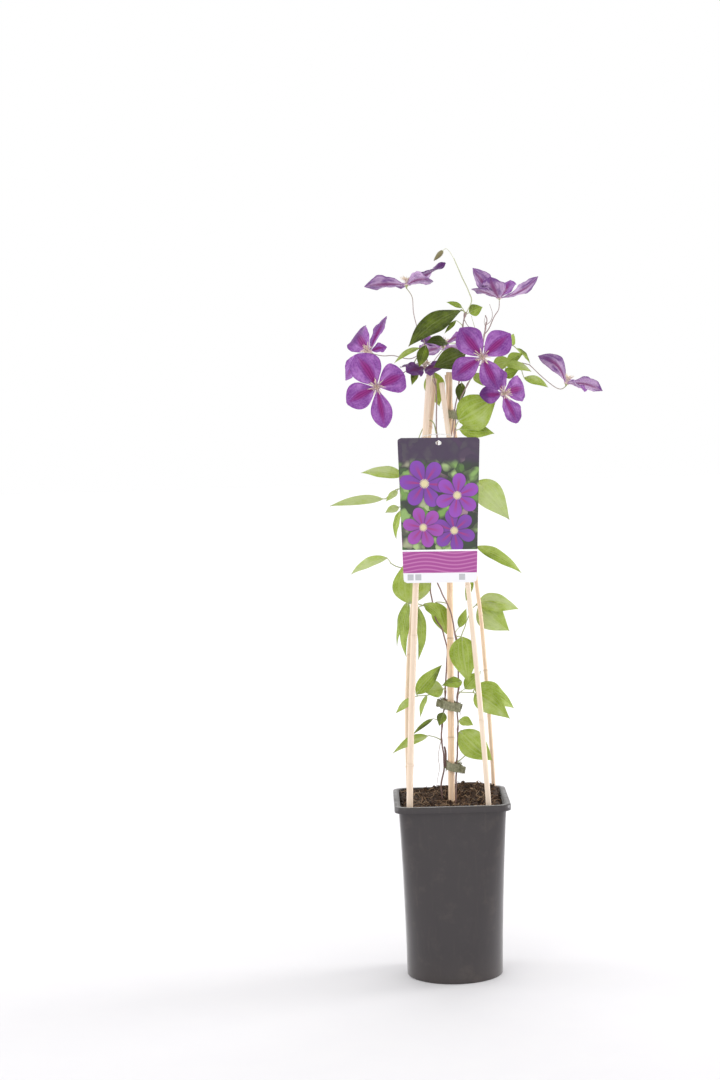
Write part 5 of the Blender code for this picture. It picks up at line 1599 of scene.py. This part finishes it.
def make_stamens(name, bloom, number, centre, face):
    """A tuft of styles in the middle, and whorls of flat filaments with long anthers round it."""
    rng = random.Random(STAMEN_SEED + number)
    builder = Builder()
    side = face.orthogonal().normalized()
    other = face.cross(side)
    for k in range(STAMENS):
        outer = k % 3 / 2
        outward = circle(side, other, math.tau * (k * GOLDEN_TURN + rng.uniform(-0.02, 0.02)))
        lean = math.radians(bloom.spread) * (0.45 + 0.65 * outer) + rng.uniform(-0.12, 0.12)
        length = FILAMENT_LENGTH * rng.uniform(0.85, 1.15) * (0.85 + 0.2 * outer)
        root = centre + face * 0.8 + outward * (0.9 + 1.0 * outer)
        bend = root + circle(face, outward, lean * 0.5) * length * 0.45
        end = root + circle(face, outward, lean) * length

        def radius(share, at, angle, wide=rng.uniform(0.85, 1.1)):
            return wide * (0.17 + 0.27 * hump(share - 0.78, 0.16)) * (1 if share < 0.97 else 0.55)
        path = through([root, bend, end], length / 9)
        tube(builder, path, radius, 6, 0.15 * (1 - outer), rng.random(), flat=0.7)
    for k in range(STYLES):
        outward = circle(side, other, math.tau * k * GOLDEN_TURN)
        reach = rng.uniform(0.1, 0.35)
        root = centre + face * 0.5 + outward * 0.5
        end = root + (face + outward * reach).normalized() * FILAMENT_LENGTH * rng.uniform(0.62, 0.78)
        tube(builder, through([root, root.lerp(end, 0.5) + outward * 0.2, end], 1.2),
             lambda share, at, angle: 0.30 - 0.14 * share, 5, 0.0, rng.random())
    tube(builder, [centre + face * rise for rise in (-0.9, -0.4, 0.5, 1.6, 2.2)],
         lambda share, at, angle: 2.6 * (1 - share ** 2) + 0.5, 14, 0.25, 0.0)
    builder.build(name + "_tuft", [STAMEN_MATERIAL], "stamen_cream", [name + "_stamens"], 60.0)


# Bud
def make_bud():
    """The closed bud: four seams down its sides, and down on its skin."""
    builder = Builder()
    base = Vector(BUD_BASE)
    axis = Vector(BUD_TIP) - base

    def radius(share, at, angle):
        body = math.sin(math.pi * min(1.0, share * 0.93 + 0.07) ** 0.72) ** 0.9
        seams = 1 - 0.10 * hump(math.sin(2 * angle), 0.25)
        return max(0.12, BUD_RADIUS * body * seams)
    tube(builder, [base + axis * (k / 22) for k in range(23)], radius, 24, 0.0, 0.0)
    rng = random.Random(BUD_SEED)
    along = axis.normalized()
    side = along.orthogonal().normalized()
    other = along.cross(side)
    for k in range(BUD_HAIRS):
        share = 0.06 + 0.88 * rng.random()
        angle = rng.uniform(0, math.tau)
        spoke = circle(side, other, angle)
        root = base + axis * share + spoke * (radius(share, 0, angle) - 0.05)
        tip = root + (spoke + along * 0.9).normalized() * rng.uniform(0.5, 1.0)
        tube(builder, [root, tip], lambda s, at, a: 0.05 - 0.03 * s, 3, 1.0, 0.0)
    builder.build("clematis_bud", [bud_material()], "bud_olive", ["bud"], 60.0)


# Studio
def make_studio():
    mesh = bpy.data.meshes.new("studio_floor")
    mesh.from_pydata([(x * FLOOR_REACH, y * FLOOR_REACH, 0) for x, y in ((-1, -1), (1, -1), (1, 1), (-1, 1))],
                     [], [(0, 1, 2, 3)])
    mesh.materials.append(floor_material())
    floor = put("studio_floor", mesh)
    for name, place, size, power in LIGHTS:
        data = bpy.data.lights.new(name, "AREA")
        data.shape = "RECTANGLE"
        data.size, data.size_y = size
        data.energy = power
        light = put(name, data)
        light.location = place
        light.rotation_euler = (Vector(LIGHT_AIM) - Vector(place)).to_track_quat("-Z", "Y").to_euler()
    world = bpy.data.worlds.new("studio")
    world.use_nodes = True
    background = world.node_tree.nodes["Background"]
    background.inputs["Color"].default_value = WHITE
    background.inputs["Strength"].default_value = WORLD_STRENGTH
    bpy.context.scene.world = world
    bpy.context.scene.view_settings.view_transform = "Standard"


def make_camera():
    """The photo's viewpoint: a long lens, tipped a little down and rolled a little."""
    data = bpy.data.cameras.new("camera")
    data.sensor_fit = "VERTICAL"
    data.sensor_height = 36.0
    data.lens = CAMERA_LENS
    camera = put("camera", data)
    turn = Matrix.Rotation(math.pi / 2 - CAMERA_PITCH, 4, "X") @ Matrix.Rotation(CAMERA_ROLL, 4, "Z")
    camera.matrix_world = Matrix.Translation(CAMERA_PLACE) @ turn
    bpy.context.scene.camera = camera


LEAF_MATERIAL = leaf_material()
STEM_MATERIAL = stem_material()
SEPAL_MATERIAL = sepal_material()
FADED_AND_SHADED_MATERIAL = sepal_material("sepal_faded_and_shaded", 0.6)
STAMEN_MATERIAL = stamen_material()

make_camera()
make_studio()
make_pot()
make_soil()
make_crumbs()
make_canes()
make_label()
make_label_loop()
make_ties()
for vine_name, vine in VINES.items():
    make_vine(vine_name, vine, LEAF_TONE_LIGHT_AND_SHADE[vine_name])
for bloom_number, (bloom_name, bloom) in enumerate(BLOOMS.items()):
    make_bloom(bloom_name, bloom, bloom_number)
make_bud()
